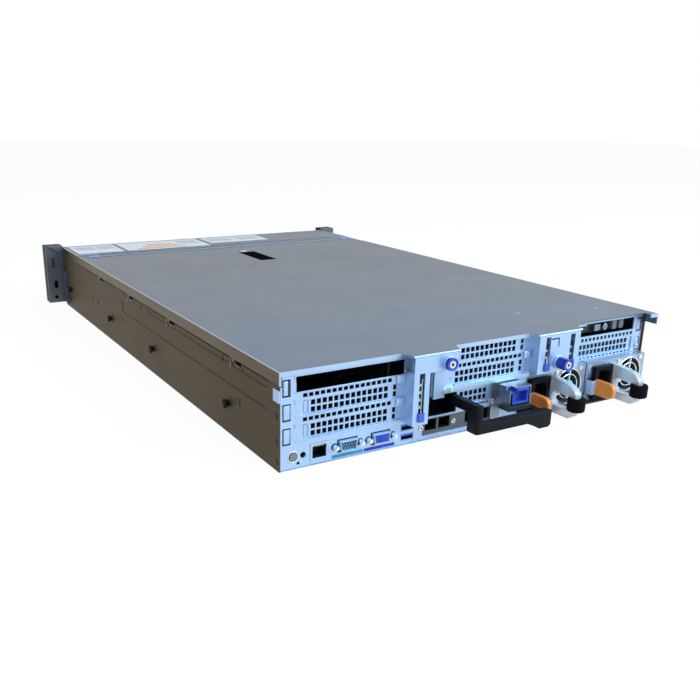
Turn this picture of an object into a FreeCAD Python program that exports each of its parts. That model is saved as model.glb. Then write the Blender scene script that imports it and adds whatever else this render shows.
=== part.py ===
import FreeCAD, Part
import os
from math import cos, pi, radians, sin, sqrt

from FreeCAD import Vector

# A two-unit rack server built as its real pieces: a folded sheet-metal chassis, a cover that
# slides and locks, a rear wall of expansion slots, two hot-plug supplies, drives, fans and boards.
# Lengths are in millimetres. The working frame has x to the right as seen from behind,
# y forward from the rear wall and z up. place() turns it into the part's own frame:
# front towards -Y, rear towards +Y, origin under the middle of the whole server.

# Chassis
BODY_W = 434.0
BODY_H = 84.0
DEPTH = 678.8
SHEET = 1.2
CLEAR = 0.3
STEP_IN = 15.0
RIGHT_WALL_REAR = 13.0
BAND_Y = (20.0, 400.0)
BAND_DEPTH = 0.5
GROOVE_Y = (20.0, 306.0)
LOW_WALL_SLOTS = ((528.3, 34.2), (502.4, 33.5), (400.0, 33.3), (71.7, 33.5))
HIGH_WALL_SLOTS = (327.8, 106.4)
WALL_SLOT_L = 2.2
WALL_SLOT_H = 6.5
CORNER_TAB_L = 10.7

# Cover
COVER_T = 1.2
FRONT_TOP_L = 86.8
COVER_TRAVEL = 14.0
SEAM_DROP = 11.5
COVER_FLANGE = 3.6
CORNER_CUT = 5.0
BEND = 0.8
HOOK_Y = (82.5, 240.0, 370.0, 488.0)
HOOK_L = 6.0
STRIP_FRONT = 44.0
STRIP_DEPTH = 0.5
RIB_IN = (31.0, 28.0)
RIB_BACK = (16.0, 11.0)
NOTCH_Y = 7.0
NOTCH_END = 11.0

# Cover latch
POCKET_OFF_X = (-7.5, 16.5)
POCKET_BACK = (137.0, 51.0)
POCKET_DEPTH = 8.0
POCKET_T = 0.8
LEVER_T = 5.5
LEVER_PIN_R = 1.5
LEVER_PIN_IN = 5.0
LEVER_PIN_DROP = 4.6
RIDGES = 7
RIDGE_STEP = 6.0
LOCK_BRIDGE = 14.0
LOCK_R = 5.0

# Expansion slots
LOWEST_SLOT_Z = 31.46
LEFT_SLOT_DROP = 11.9
MIDDLE_SLOT_DROP = 9.6
SLOT_H = 12.6
OPEN_DROP = 1.2
WINDOW_X = 15.0
TAIL_X = (2.9, 10.3)
TAIL_DROP = 2.2
TAIL_H = 14.6
COVER_PLATE_T = 0.9
COVER_PLATE_H = 16.0
RAISED = 0.5
HOLE_PITCH = 5.4
HOLE_W = 4.1
HOLE_H = 4.5
HOLE_ROW = 6.0
VENT_H = 3.4
SMALL_VENT_H = 2.2

# Rear ports
PORT_DEPTH = 18.0
JACK_W = 17.4
JACK_Z = (3.9, 19.4)
DSUB_Z = 12.2
DSUB_W = 17.0
DSUB_H = 9.0
DSUB_REACH = 3.4
DSUB_SCREW = 12.5
DSUB_FLANGE = 14.9
USB_W = 14.4
USB_Z = (4.2, 13.0)
USB_H = 6.8
ID_Z = 11.2
ID_R = 3.7
ID_REACH = 1.4
ID_SWITCH_Y = 4.0
CABLE_JACK_R = 2.8
LIGHT_Z = 4.8
LIGHT_R = 1.5
NET_Z = (4.8, 20.2)
NET_PORT_W = 12.8
NET_PORT_STEP = 15.0
NET_PORT_Z = (8.4, 18.6)
NET_BOARD = 96.0
NET_CAGE_D = 22.0
NET_CAGE_SIDE = 0.9
NET_CAGE_ROOF = 0.8
NET_PORT_DEPTH = 14.0
NET_CHIP_X = 30.0
NET_CHIP_Y = 44.0
NET_CHIP_W = 24.0
NET_CHIP_H = 10.0

# Riser brackets, card latches and thumbscrews
LEFT_POST_W = 16.4
LEFT_POST_LOW = 22.0
LEFT_POST_REACH = 13.5
KNOB_PLATE_L = 46.4
MIDDLE_POST_W = 51.6
MIDDLE_POST_REACH = 10.5
TAB_T = 3.0
TAB_Z = 38.4
LATCH_W = 4.6
LATCH_T = 2.6
LATCH_GAP = 0.6
LATCH_PIN_R = 1.0
LATCH_TAB_W = 7.0
LATCH_TAB_H = 7.4
LATCH_TAB_REACH = 1.8
LEFT_LATCH_LOW = 25.5
EAR_T = 1.0
SCREW_R = 5.7
SCREW_NECK_R = 2.0
SCREW_COLLAR_R = 6.4
SCREW_COLLAR_T = 2.4
SCREW_1_LEN = 3.4
SCREW_2_LEN = 11.0
NUT_L = 4.0

# Rear handle and its latch
REACH = 36.7
ARM_W = 6.4
ARM_Z = (29.5, 38.5)
ARM_IN = 50.0
POST_D = 13.0
BAR_Z = (12.4, 21.0)
BAR_D = 9.0
BULGE_L = 16.5
BULGE_Z = (5.2, 19.0)
RIGHT_ARM_Z = (7.0, 18.2)
HANDLE_OPENING_Z = (21.6, 40.4)
LATCH_BOX_W = 25.0
LATCH_BOX_Z = (19.6, 42.2)
LATCH_FOOT_Z = 8.3
LATCH_FOOT_X = (4.6, 6.4)
LATCH_BOX_D = 20.0
LATCH_BOX_T = 1.2
RELEASE_TRAVEL = 4.0

# Supplies
SUPPLY_LEN = 185.0
SUPPLY_Y = 6.0
SUPPLY_GAP = 0.4
SUPPLY_END = 1.4
SUPPLY_CAGE_T = 0.8
CAGE_LEN = 200.0
INLET_X = (8.6, 33.4)
INLET_LOW = 3.0
INLET_DROP = 4.5
INLET_REACH = 5.0
INLET_DEPTH = 16.0
SOCKET_W = 16.2
SOCKET_H = 24.2
SOCKET_DEPTH = 15.0
GRIP_X = 35.0
GRIP_T = 7.0
GRIP_REACH = 36.0
GRIP_LOW = 1.6
GRIP_DROP = 4.2
GRIP_BAND = 9.0
GRIP_UPPER = 13.5
STRAP_R = 8.7
STRAP_Z = (10.4, 23.4)
SUPPLY_AXLE_R = 2.0
SUPPLY_HUB_R = 9.0
SUPPLY_SPOKES = (35, 155, 275)
TRIP_X = 2.2
TRIP_T = 0.8
TRIP_Z = (9.5, 24.0)
TRIP_PIVOT_Y = 46.0
THUMB_T = 4.6
THUMB_LEN = 23.0
THUMB_X = 7.2
THUMB_Y = -0.6
SUPPLY_FAN_IN = 22.7
SUPPLY_FAN_RIM = 1.35
SUPPLY_FAN_DEPTH = 30.0

# Drives, backplane and front
DRIVE_CAGE_LEN = 173.8
CAGE_T = 0.8
BAY_H = 26.6
FACE_OUT = 10.0
COLUMNS = 4
TRAY_T = 1.0
TRAY_H = 14.0
DRIVE_LEN = 147.0
DRIVE_GAP = 6.0
LEVER_L = 84.0
LEVER_H = 17.0
CARRIER_LEVER_T = 4.0
HINGE_R = 1.6
BACKPLANE_T = 1.6
BLANK_LEN = 60.0
BLANK_T = 2.0
BLANK_SLOTS = 3
GRILLE_SLOTS = 9

# Fans
FAN_Y = 396.0
FAN_D = 38.0
FAN_RIM = 2.4
FAN_TIP_GAP = 1.4
FAN_HUB_R = 17.0
FAN_AXLE_R = 2.2
FAN_MOUNT_T = 4.0
FAN_STRUTS = (90, 210, 330)
FANS = 4
BLADES = 5
BLADE_PITCH = 48.0

# Boards
BOARD_Z = 2.6
BOARD_T = 1.6
SINK_X = (62.0, 242.0)
SINK_W = 78.0
SINK_Y = (250.0, 358.0)
SINK_H = 58.0
CPU_SOCKET_H = 4.0
STANDOFF_X = (20.0, 130.0)
STANDOFF_Y = (30.0, 120.0, 210.0, 385.0)
FINS = 9
MODULE_LEN = 133.3
MODULE_H = 31.0
MODULE_T = 1.4
MODULE_STEP = 12.0
MODULE_GAP = 5.0
MODULES = 4
SHROUD_REAR = 215.0
SHROUD_T = 1.5
RISER_Y = 30.0
RISER_END = 190.0
SOCKET_L = 82.0

# Rack ears and front panels
EAR_W = 24.0
EAR_LOW = 4.0
EAR_RISE = 2.0
EAR_PLATE = 2.0
EAR_FRONT = 22.0
EAR_LEG_T = 4.0
EAR_LEG_L = 21.0
EAR_LEG_Z = (6.0, 52.0)
EAR_WINDOW_X = 10.2
EAR_WINDOW_W = 5.2
EAR_WINDOW_Z = (25.0, 35.7)
EAR_SCREW_Z = 12.0
EAR_VENTS = 6
EAR_VENT_X = (12.2, 17.0)
EAR_VENT_Z = 55.4
EAR_VENT_STEP = 2.5
EAR_VENT_H = 1.3
PANEL_BACK = 3.0
SLAM_PIN_R = 1.0
SLAM_LOW = 24.0
SLAM_DROP = 22.0
SLAM_T = 5.0
BUTTON_R = 4.0
BUTTON_DROP = 10.0

# Side fasteners
REAR_STUDS = (97.5, 294.4, 448.8)
FRONT_STUD = 36.2
STUD_Z = 28.5
STUD_R = 3.0
STUD_HEAD_R = 4.4
STUD_REACH = 4.0
STUD_HEAD_T = 1.2
HANGER_SCREWS = (0.2, 7.3)
SIDE_SCREW_Z = (46.7, 24.3, 7.4)
SIDE_SCREW_Y = 5.6
SIDE_SCREW_R = 2.4

# Heights that follow from the sizes above
COVER_UNDER = BODY_H - COVER_T
WALL_TOP = COVER_UNDER - CLEAR
SEAM_Z = BODY_H - SEAM_DROP
BAND_Z = (SEAM_Z - 25.5, SEAM_Z - 11.5)
GROOVE_Z = (SEAM_Z - 7.0, SEAM_Z - 3.5)
CORNER_TAB_Z = (SEAM_Z - 14.5, SEAM_Z - 3.5)
LEFT_SLOT_Z = BODY_H - LEFT_SLOT_DROP
MIDDLE_SLOT_Z = BODY_H - MIDDLE_SLOT_DROP
SLOT_PITCH = (LEFT_SLOT_Z - LOWEST_SLOT_Z) / 2
BOARD_TOP = BOARD_Z + BOARD_T
SUPPLY_Z = SHEET + CLEAR
SHELF_TOP = LEFT_SLOT_Z - SLOT_PITCH - COVER_PLATE_H / 2 - 1.4
SHELF_Z = SHELF_TOP - SUPPLY_CAGE_T
SUPPLY_H = SHELF_Z - CLEAR - SUPPLY_Z
SUPPLY_FAN_R = SUPPLY_H / 2 - SUPPLY_FAN_RIM
INLET_Z = (INLET_LOW, SUPPLY_Z + SUPPLY_H - INLET_DROP)
GRIP_Z = (GRIP_LOW, SUPPLY_Z + SUPPLY_H - GRIP_DROP)
LEFT_POST_Z = (LEFT_POST_LOW, BODY_H - 15.0)
KNOB_PLATE_Z = BODY_H - 16.5
MIDDLE_POST_Z = BODY_H - 38.0
LEFT_LATCH_Z = (LEFT_LATCH_LOW, BODY_H - 18.0)
MIDDLE_LATCH_Z = (BODY_H - 35.5, BODY_H - 7.0)
FAN_SIZE = BODY_H - POCKET_DEPTH - POCKET_T - 1.0 - SHEET
FAN_BORE_R = FAN_SIZE / 2 - FAN_RIM
FAN_TIP_R = FAN_BORE_R - FAN_TIP_GAP
SHROUD_TOP = WALL_TOP - 3.5
DRIVE_TOP = SHEET + 2 * (BAY_H + CAGE_T) + CAGE_T
EAR_Z = (EAR_LOW, BODY_H + EAR_RISE)
SLAM_Z = (SLAM_LOW, BODY_H - SLAM_DROP)
BUTTON_Z = BODY_H - BUTTON_DROP

# Places along the depth that follow from the sizes above
COVER_REAR = -(SHEET + CLEAR)
COVER_LEN = DEPTH - FRONT_TOP_L
RIB_Y = (COVER_LEN - RIB_BACK[0], COVER_LEN - RIB_BACK[1])
POCKET_Y = (COVER_LEN - POCKET_BACK[0], COVER_LEN - POCKET_BACK[1])
CAGE_Y = DEPTH - DRIVE_CAGE_LEN
FACE_Y = DEPTH + FACE_OUT
BOARD_FRONT = FAN_Y - 6.0
SHROUD_Y = (SHROUD_REAR, FAN_Y - 8.0)
STUD_Y = REAR_STUDS + (DEPTH - FRONT_STUD,)

# Places across the width. Slots, ports and supplies keep their share of the rear wall
ACROSS = BODY_W / 434.0
JOG = COVER_T + CLEAR
UPPER_IN = JOG + SHEET
CAGE_X = UPPER_IN + CLEAR
BAY_W = (BODY_W - 2 * CAGE_X - (COLUMNS + 1) * CAGE_T) / COLUMNS
ID_X = 12.6 * ACROSS
LIGHT_X = 17.3 * ACROSS
CABLE_JACK_X = 21.8 * ACROSS
JACK_X = (28.2 * ACROSS, 28.2 * ACROSS + JACK_W)
SERIAL_X = 63.9 * ACROSS
VIDEO_X = 97.1 * ACROSS
USB_X = (117.8 * ACROSS, 117.8 * ACROSS + USB_W)
WINDOW_END = WINDOW_X + 104.0 * ACROSS
LEFT_POST_X = WINDOW_END + 0.6
LEFT_LATCH_X = LEFT_POST_X + 8.4
KNOB_END_X = LEFT_POST_X + KNOB_PLATE_L
SCREW_1 = (KNOB_END_X - 11.3, BODY_H - COVER_FLANGE - CLEAR - SCREW_COLLAR_R)
HANDLE_OPENING_X = LEFT_POST_X + 21.4
GAP_X = (LEFT_POST_X + 19.6, LEFT_POST_X + 28.4)
TAB_X = (GAP_X[1] + 1.0, GAP_X[1] + 13.0)
SUPPLY_X = 260.4 * ACROSS
SUPPLY_W = (BODY_W - SHEET - SUPPLY_END - SUPPLY_X - SUPPLY_CAGE_T - 2 * SUPPLY_GAP) / 2
SUPPLY_STEP = SUPPLY_W + SUPPLY_CAGE_T + 2 * SUPPLY_GAP
SUPPLY_FAN_X = SUPPLY_W - SUPPLY_FAN_IN
MIDDLE_POST_X = (SUPPLY_X + 2.0, SUPPLY_X + 2.0 + MIDDLE_POST_W)
MIDDLE_LATCH_X = (MIDDLE_POST_X[0] + 11.0, MIDDLE_POST_X[1] - 9.6)
SCREW_2 = (MIDDLE_POST_X[0] + 25.6, BODY_H - 28.6)
HANDLE_X = (LEFT_POST_X + 51.4, SUPPLY_X - SUPPLY_CAGE_T - 2 * CLEAR)
MIDDLE_X = (HANDLE_X[0] + 1.0, MIDDLE_POST_X[0] - 4.0)
LATCH_BOX_X = (SUPPLY_X - 13.2 - LATCH_BOX_W, SUPPLY_X - 13.2)
LOW_X = (HANDLE_X[0] + 8.2, LATCH_BOX_X[0] - 4.2)
NET_X = (LEFT_POST_X + 21.4, LATCH_BOX_X[0] - 2.2)
NET_PORTS = (NET_X[0] + 3.8, NET_X[0] + 3.8 + NET_PORT_STEP,
             NET_X[1] - 15.2 - NET_PORT_STEP, NET_X[1] - 15.2)
RIGHT_WINDOW_X = (MIDDLE_POST_X[1] + 1.0, BODY_W - WINDOW_X)
NOTCH_X = (MIDDLE_POST_X[1] + 17.0, BODY_W - NOTCH_END)
RIB_X = (RIB_IN[0], BODY_W - RIB_IN[1])
POCKET_X = (BODY_W / 2 + POCKET_OFF_X[0], BODY_W / 2 + POCKET_OFF_X[1])
BOARD_NARROW = SUPPLY_X - 4.4


def box(x0, x1, y0, y1, z0, z1):
    return Part.makeBox(x1 - x0, y1 - y0, z1 - z0, Vector(x0, y0, z0))


def rod(x, y, z, radius, length, axis):
    """A pin, screw or bore as a prism: the larger its radius, the more flat sides it has."""
    sides = 4 * round(1.5 + min(radius, 20.0) / 5)
    along = Vector(*axis)
    across = Vector(0, 0, 1) if abs(along.z) < 0.5 else Vector(1, 0, 0)
    other = along.cross(across)
    centre = Vector(x, y, z)
    ring = []
    for i in range(sides + 1):
        turn = 2 * pi * (i % sides + 0.5) / sides
        ring.append(centre + across * (radius * cos(turn)) + other * (radius * sin(turn)))
    return Part.Face(Part.makePolygon(ring)).extrude(along * length)


def join(shapes):
    return shapes[0].fuse(shapes[1:]).removeSplitter() if len(shapes) > 1 else shapes[0]


def mirrored(shape):
    return shape.mirror(Vector(BODY_W / 2, 0, 0), Vector(1, 0, 0))


def profile(points, x0, length):
    """A closed outline of (y, z) points, pulled along x."""
    wire = Part.makePolygon([Vector(x0, y, z) for y, z in points + points[:1]])
    return Part.Face(wire).extrude(Vector(length, 0, 0))


def plan(points, z0, height):
    """A closed outline of (x, y) points, pulled up along z."""
    wire = Part.makePolygon([Vector(x, y, z0) for x, y in points + points[:1]])
    return Part.Face(wire).extrude(Vector(0, 0, height))


def round_edges(shape, radius, chosen):
    edges = [e for e in shape.Edges if chosen(e.CenterOfMass, e.tangentAt(e.FirstParameter))]
    return shape.makeFillet(radius, edges)


def holes(first_x, last_x, z, width, height, y0, y1, pitch=HOLE_PITCH):
    """A row of square ventilation holes from first_x to last_x, as the solids that cut them."""
    row = []
    for i in range(int((last_x - first_x) / pitch + 0.01) + 1):
        x = first_x + i * pitch
        row.append(box(x - width / 2, x + width / 2, y0, y1, z - height / 2, z + height / 2))
    return row


def hook_slots():
    """The J-shaped slots of one wall that the cover's hooks drop into and slide along."""
    low = SEAM_Z - SHEET - 2 * CLEAR - COVER_T
    cuts = []
    for y in HOOK_Y:
        opened = y - COVER_TRAVEL
        cuts.append(box(-1, JOG, opened - CLEAR, y + HOOK_L + CLEAR, low, SEAM_Z + 1))
        cuts.append(box(-1, UPPER_IN + 1, opened - CLEAR, opened + HOOK_L + CLEAR, low, BODY_H))
    return cuts


def side_wall(rear_y, tab):
    lower = box(0, SHEET, rear_y, DEPTH, 0, SEAM_Z)
    shoulder = box(0, UPPER_IN, rear_y, DEPTH, SEAM_Z - SHEET, SEAM_Z)
    upper = box(JOG, UPPER_IN, rear_y, DEPTH, SEAM_Z - SHEET, WALL_TOP)
    cuts = hook_slots()
    cuts.append(box(-1, BAND_DEPTH, BAND_Y[0], BAND_Y[1], BAND_Z[0], BAND_Z[1]))
    cuts.append(box(-1, BAND_DEPTH, GROOVE_Y[0], GROOVE_Y[1], GROOVE_Z[0], GROOVE_Z[1]))
    high = [(y, SEAM_Z - SHEET - WALL_SLOT_H - 0.4) for y in HIGH_WALL_SLOTS]
    for y, z in LOW_WALL_SLOTS + tuple(high):
        cuts.append(box(-1, SHEET + 1, y, y + WALL_SLOT_L, z, z + WALL_SLOT_H))
    if tab:
        cuts.append(box(-1, SHEET, -1, CORNER_TAB_L, CORNER_TAB_Z[0], CORNER_TAB_Z[1]))
    return join([lower, shoulder, upper]).cut(cuts)


def chassis_base():
    floor = box(0, BODY_W, 0, DEPTH, 0, SHEET)
    left = side_wall(0, True)
    right = mirrored(side_wall(RIGHT_WALL_REAR, False))
    return join([floor, left, right])


def slot_window(x0, x1, z, y, drop=0.0):
    return box(x0, x1, y - 1, y + SHEET + 1, z - SLOT_H / 2 - drop, z + SLOT_H / 2)


def tail_window(x0, x1, z, y):
    middle = z - TAIL_DROP
    return box(x0, x1, y - 1, y + SHEET + 1, middle - TAIL_H / 2, middle + TAIL_H / 2)


def dsub_opening(x):
    opening = [box(x - DSUB_W / 2 - 1.4, x + DSUB_W / 2 + 1.4, -1, SHEET + 1,
                   DSUB_Z - DSUB_H / 2 - 1.4, DSUB_Z + DSUB_H / 2 + 1.4)]
    for side in (-1, 1):
        opening.append(rod(x + side * DSUB_SCREW, -1, DSUB_Z, 3.4, SHEET + 2, (0, 1, 0)))
    return opening


def left_openings():
    cuts = []
    for i in range(3):
        z = LEFT_SLOT_Z - i * SLOT_PITCH
        cuts.append(slot_window(WINDOW_X, WINDOW_END, z, 0, 0.0 if i else OPEN_DROP))
        cuts.append(tail_window(TAIL_X[0], TAIL_X[1], z, 0))
    for i in range(2):
        z = LEFT_SLOT_Z - (i + 0.5) * SLOT_PITCH
        cuts += holes(WINDOW_X + 8.4, WINDOW_END - 14.6, z, HOLE_W, VENT_H, -1, SHEET + 1)
    cuts.append(box(JACK_X[0], JACK_X[1], -1, SHEET + 1, JACK_Z[0], JACK_Z[1]))
    cuts += dsub_opening(SERIAL_X)
    cuts += dsub_opening(VIDEO_X)
    for z in USB_Z:
        cuts.append(box(USB_X[0], USB_X[1], -1, SHEET + 1, z, z + USB_H))
    cuts.append(rod(ID_X, -1, ID_Z, ID_R + CLEAR, SHEET + 2, (0, 1, 0)))
    cuts.append(rod(CABLE_JACK_X, -1, ID_Z, CABLE_JACK_R, SHEET + 2, (0, 1, 0)))
    cuts.append(rod(LIGHT_X, -1, LIGHT_Z, LIGHT_R, SHEET + 2, (0, 1, 0)))
    return cuts


def middle_openings():
    cuts = []
    for i in range(2):
        cuts.append(slot_window(MIDDLE_X[0], MIDDLE_X[1], MIDDLE_SLOT_Z - i * SLOT_PITCH, 0))
    low_z = MIDDLE_SLOT_Z - 2 * SLOT_PITCH
    cuts.append(slot_window(LOW_X[0], LOW_X[1], low_z, 0))
    cuts += holes(MIDDLE_X[0] + 6.6, MIDDLE_X[1] - 9.6, MIDDLE_SLOT_Z - 0.5 * SLOT_PITCH,
                  HOLE_W, VENT_H, -1, SHEET + 1)
    cuts += holes(LOW_X[1] - 18.0, LOW_X[1] - 4.0, low_z - 8.6, 2.6, 1.8, -1, SHEET + 1, 3.5)
    cuts.append(box(HANDLE_OPENING_X, HANDLE_X[0] + ARM_W + CLEAR, -1, SHEET + 1,
                    HANDLE_OPENING_Z[0], HANDLE_OPENING_Z[1]))
    cuts.append(box(GAP_X[0], GAP_X[1], -1, SHEET + 1, HANDLE_OPENING_Z[0], KNOB_PLATE_Z - 1.0))
    cuts.append(box(HANDLE_X[1] - ARM_W - CLEAR, HANDLE_X[1] + CLEAR, -1, SHEET + 1,
                    RIGHT_ARM_Z[0] - CLEAR, RIGHT_ARM_Z[1] + CLEAR))
    cuts.append(box(NET_X[0], NET_X[1], -1, SHEET + 1, NET_Z[0], NET_Z[1]))
    return cuts


def right_openings():
    cuts = []
    x0, x1 = RIGHT_WINDOW_X
    for i in range(2):
        z = LEFT_SLOT_Z - i * SLOT_PITCH
        cuts.append(slot_window(x0, x1, z, STEP_IN))
        cuts.append(tail_window(BODY_W - TAIL_X[1], BODY_W - TAIL_X[0], z, STEP_IN))
    for i, height in ((0.5, VENT_H), (1.4, SMALL_VENT_H)):
        z = LEFT_SLOT_Z - i * SLOT_PITCH
        cuts += holes(x0 + 26.0, x1 - 2.4, z, HOLE_W * 0.8, height, STEP_IN - 1, STEP_IN + SHEET + 1)
    return cuts


def supply_cage():
    """The walls and the shelf round the two supply bays."""
    wall = SUPPLY_CAGE_T
    first = SUPPLY_X - CLEAR - wall
    divider = SUPPLY_X + SUPPLY_W + SUPPLY_GAP
    shelf = box(first, BODY_W - SHEET, STEP_IN, CAGE_LEN, SHELF_Z, SHELF_Z + wall)
    left = box(first, first + wall, 0, CAGE_LEN, SHEET, SHELF_Z + wall)
    middle = box(divider, divider + wall, STEP_IN, CAGE_LEN, SHEET, SHELF_Z + wall)
    return [shelf, left, middle]


def rear_panel():
    step_x = MIDDLE_POST_X[0]
    cage_x = SUPPLY_X - CLEAR
    top = SEAM_Z - SHEET
    right_x = BODY_W - UPPER_IN
    plates = [box(SHEET, cage_x, 0, SHEET, SHEET, top),
              box(UPPER_IN, cage_x, 0, SHEET, SHEET, WALL_TOP),
              box(cage_x, step_x + SHEET, 0, SHEET, SHELF_Z, WALL_TOP),
              box(step_x, step_x + SHEET, 0, STEP_IN + SHEET, SHELF_Z, WALL_TOP),
              box(step_x, right_x, STEP_IN, STEP_IN + SHEET, SHELF_Z, WALL_TOP),
              box(right_x, BODY_W - SHEET, STEP_IN, STEP_IN + SHEET, SHELF_Z, top),
              box(0, SHEET, CLEAR, CORNER_TAB_L - CLEAR, CORNER_TAB_Z[0] + CLEAR, CORNER_TAB_Z[1] - CLEAR),
              box(0, SHEET * 2, CLEAR, SHEET, CORNER_TAB_Z[0] + CLEAR, CORNER_TAB_Z[1] - CLEAR),
              box(TAB_X[1], MIDDLE_X[1], -TAB_T, 0, LATCH_BOX_Z[1] + 1.1, LATCH_BOX_Z[1] + 4.6)]
    panel = join(plates + supply_cage())
    panel = panel.cut(left_openings() + middle_openings() + right_openings())
    hanger = box(TAB_X[0], TAB_X[1], -TAB_T, SHEET, TAB_Z, BODY_H - 20.0)
    return panel.fuse(hanger).removeSplitter()


def slot_cover(x0, x1, z, wall_y, first_hole, last_hole, lone=None):
    """One perforated blanking plate: its pressed field stands into the window of the wall."""
    y = wall_y + SHEET
    plate = box(x0, x1, y, y + COVER_PLATE_T, z - COVER_PLATE_H / 2, z + COVER_PLATE_H / 2)
    edge = HOLE_PITCH * 0.75
    field = box(first_hole - edge, last_hole + edge, y - RAISED, y,
                z - SLOT_H / 2 + CLEAR, z + SLOT_H / 2 - CLEAR)
    cuts = []
    for row in (-0.5, 0.5):
        centre = z + row * HOLE_ROW
        cuts += holes(first_hole, last_hole, centre, HOLE_W, HOLE_H, y - 1, y + COVER_PLATE_T + 1)
        if lone:
            cuts += holes(lone, lone, centre, HOLE_W * 0.8, HOLE_H, y - 1, y + COVER_PLATE_T + 1)
    return join([plate, field]).cut(cuts)


def slot_covers():
    left = UPPER_IN + CLEAR
    covers = []
    for i in (1, 2):
        z = LEFT_SLOT_Z - i * SLOT_PITCH
        covers.append(slot_cover(left, WINDOW_END + 2, z, 0, WINDOW_X + 16.0, WINDOW_END - 17.8,
                                 WINDOW_END - 8.5))
    for i in (0, 1):
        z = MIDDLE_SLOT_Z - i * SLOT_PITCH
        covers.append(slot_cover(MIDDLE_X[0] - 2, MIDDLE_X[1] + 0.6, z, 0, MIDDLE_X[0] + 4.6,
                                 MIDDLE_X[1] - 17.0, MIDDLE_X[1] - 6.8))
    z = MIDDLE_SLOT_Z - 2 * SLOT_PITCH
    covers.append(slot_cover(LOW_X[0] - 1, LOW_X[1] + 6, z, 0, LOW_X[0] + 4.2, LOW_X[1] - 7.6))
    z = LEFT_SLOT_Z - SLOT_PITCH
    covers.append(slot_cover(RIGHT_WINDOW_X[0] - 1, BODY_W - left, z, STEP_IN, RIGHT_WINDOW_X[0] + 25.0,
                             RIGHT_WINDOW_X[1] - 8.8))
    return Part.makeCompound(covers)


def latch_ears(x, z, reach):
    """The two ears behind the face that carry a card latch's hinge pin."""
    face = -reach + SHEET
    ears = []
    for side in (-1, 1):
        start = x + side * (LATCH_W / 2 + LATCH_GAP)
        x0, x1 = sorted((start, start + side * EAR_T))
        ear = box(x0, x1, face, face + 7.0, z - 4.0, z + 4.0)
        ears.append(ear.cut(rod(x0 - 1, face + 3.4, z, LATCH_PIN_R + CLEAR, EAR_T + 2, (1, 0, 0))))
    return ears


def latch_slit(x, z0, z1, reach):
    half = LATCH_W / 2 + LATCH_GAP
    return box(x - half, x + half, -reach - 1, -reach + SHEET + 0.01, z0, z1)


def riser_bracket_1():
    x0 = LEFT_POST_X
    x1 = x0 + LEFT_POST_W
    y = -LEFT_POST_REACH
    z0, z1 = LEFT_POST_Z
    p1 = KNOB_END_X
    plates = [box(x0, x0 + SHEET, y, 0, z0, z1),
              box(x0, x1, y, y + SHEET, z0, z1),
              box(x0, p1, y, y + SHEET, KNOB_PLATE_Z, WALL_TOP),
              box(x0, p1, y, 0, WALL_TOP - SHEET, WALL_TOP),
              box(p1 - SHEET, p1, y, 0, KNOB_PLATE_Z, WALL_TOP),
              box(x0, x1, y, 0, z0, z0 + SHEET)]
    body = join(plates + latch_ears(LEFT_LATCH_X, LEFT_LATCH_Z[1], LEFT_POST_REACH))
    screw = rod(SCREW_1[0], y - 1, SCREW_1[1], SCREW_NECK_R + CLEAR, SHEET + 2, (0, 1, 0))
    slit = latch_slit(LEFT_LATCH_X, LEFT_LATCH_Z[0] - 1.5, z1 - 1.0, LEFT_POST_REACH)
    return body.cut([screw, slit])


def riser_bracket_2():
    x0, x1 = MIDDLE_POST_X
    y = -MIDDLE_POST_REACH
    z0 = MIDDLE_POST_Z
    plates = [box(x0, x0 + SHEET, y, 0, z0, WALL_TOP),
              box(x0, x1, y, y + SHEET, z0, WALL_TOP),
              box(x1 - SHEET, x1, y, STEP_IN, z0, WALL_TOP),
              box(x0, x1, y, 0, z0, z0 + SHEET),
              box(x0, x1, y, 0, WALL_TOP - SHEET, WALL_TOP)]
    cuts = [rod(SCREW_2[0], y - 1, SCREW_2[1], SCREW_NECK_R + CLEAR, SHEET + 2, (0, 1, 0))]
    for x in MIDDLE_LATCH_X:
        plates += latch_ears(x, MIDDLE_LATCH_Z[1], MIDDLE_POST_REACH)
        cuts.append(latch_slit(x, MIDDLE_LATCH_Z[0] - 0.6, WALL_TOP - SHEET - 0.8, MIDDLE_POST_REACH))
    hook_x = MIDDLE_LATCH_X[0] + LATCH_W / 2
    top = BODY_H - 5.0
    cuts.append(box(hook_x, hook_x + 11.5, y - 1, y + SHEET + 0.01, top - 1.4, top))
    cuts.append(box(hook_x + 10.0, hook_x + 11.5, y - 1, y + SHEET + 0.01, top - 8.5, top))
    return join(plates).cut(cuts)


def card_latch(x, z_low, z_hinge, reach):
    """A card latch: a rail behind its slit, a hinge pin at the top, a finger tab at the bottom."""
    face = -reach
    y = face + SHEET + 3.4
    rail = box(x - LATCH_W / 2, x + LATCH_W / 2, y - LATCH_T / 2, y + LATCH_T / 2, z_low + 1.5, z_hinge + 2.4)
    teeth = []
    step = 6.6
    count = int((z_hinge - z_low - LATCH_TAB_H - 6) / step)
    for i in range(count):
        z = z_low + LATCH_TAB_H + 3.4 + i * step
        teeth.append(box(x - LATCH_W / 2, x + LATCH_W / 2, y - LATCH_T / 2 - 0.9, y, z, z + 2.2))
    pin_l = LATCH_W + 2 * LATCH_GAP + 2 * EAR_T
    pin = rod(x - pin_l / 2, y, z_hinge, LATCH_PIN_R, pin_l, (1, 0, 0))
    neck = box(x - LATCH_W / 2, x + LATCH_W / 2, face - CLEAR - 1.0, y,
               z_low + 1.5, z_low + LATCH_TAB_H - 1.5)
    tab = box(x - LATCH_TAB_W / 2, x + LATCH_TAB_W / 2, face - CLEAR - LATCH_TAB_REACH, face - CLEAR,
              z_low, z_low + LATCH_TAB_H)
    tab = tab.makeChamfer(1.0, [e for e in tab.Edges if abs(e.tangentAt(0).z) > 0.9
                                and e.CenterOfMass.y < face - LATCH_TAB_REACH])
    return join([rail, pin, neck, tab] + teeth)


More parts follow.
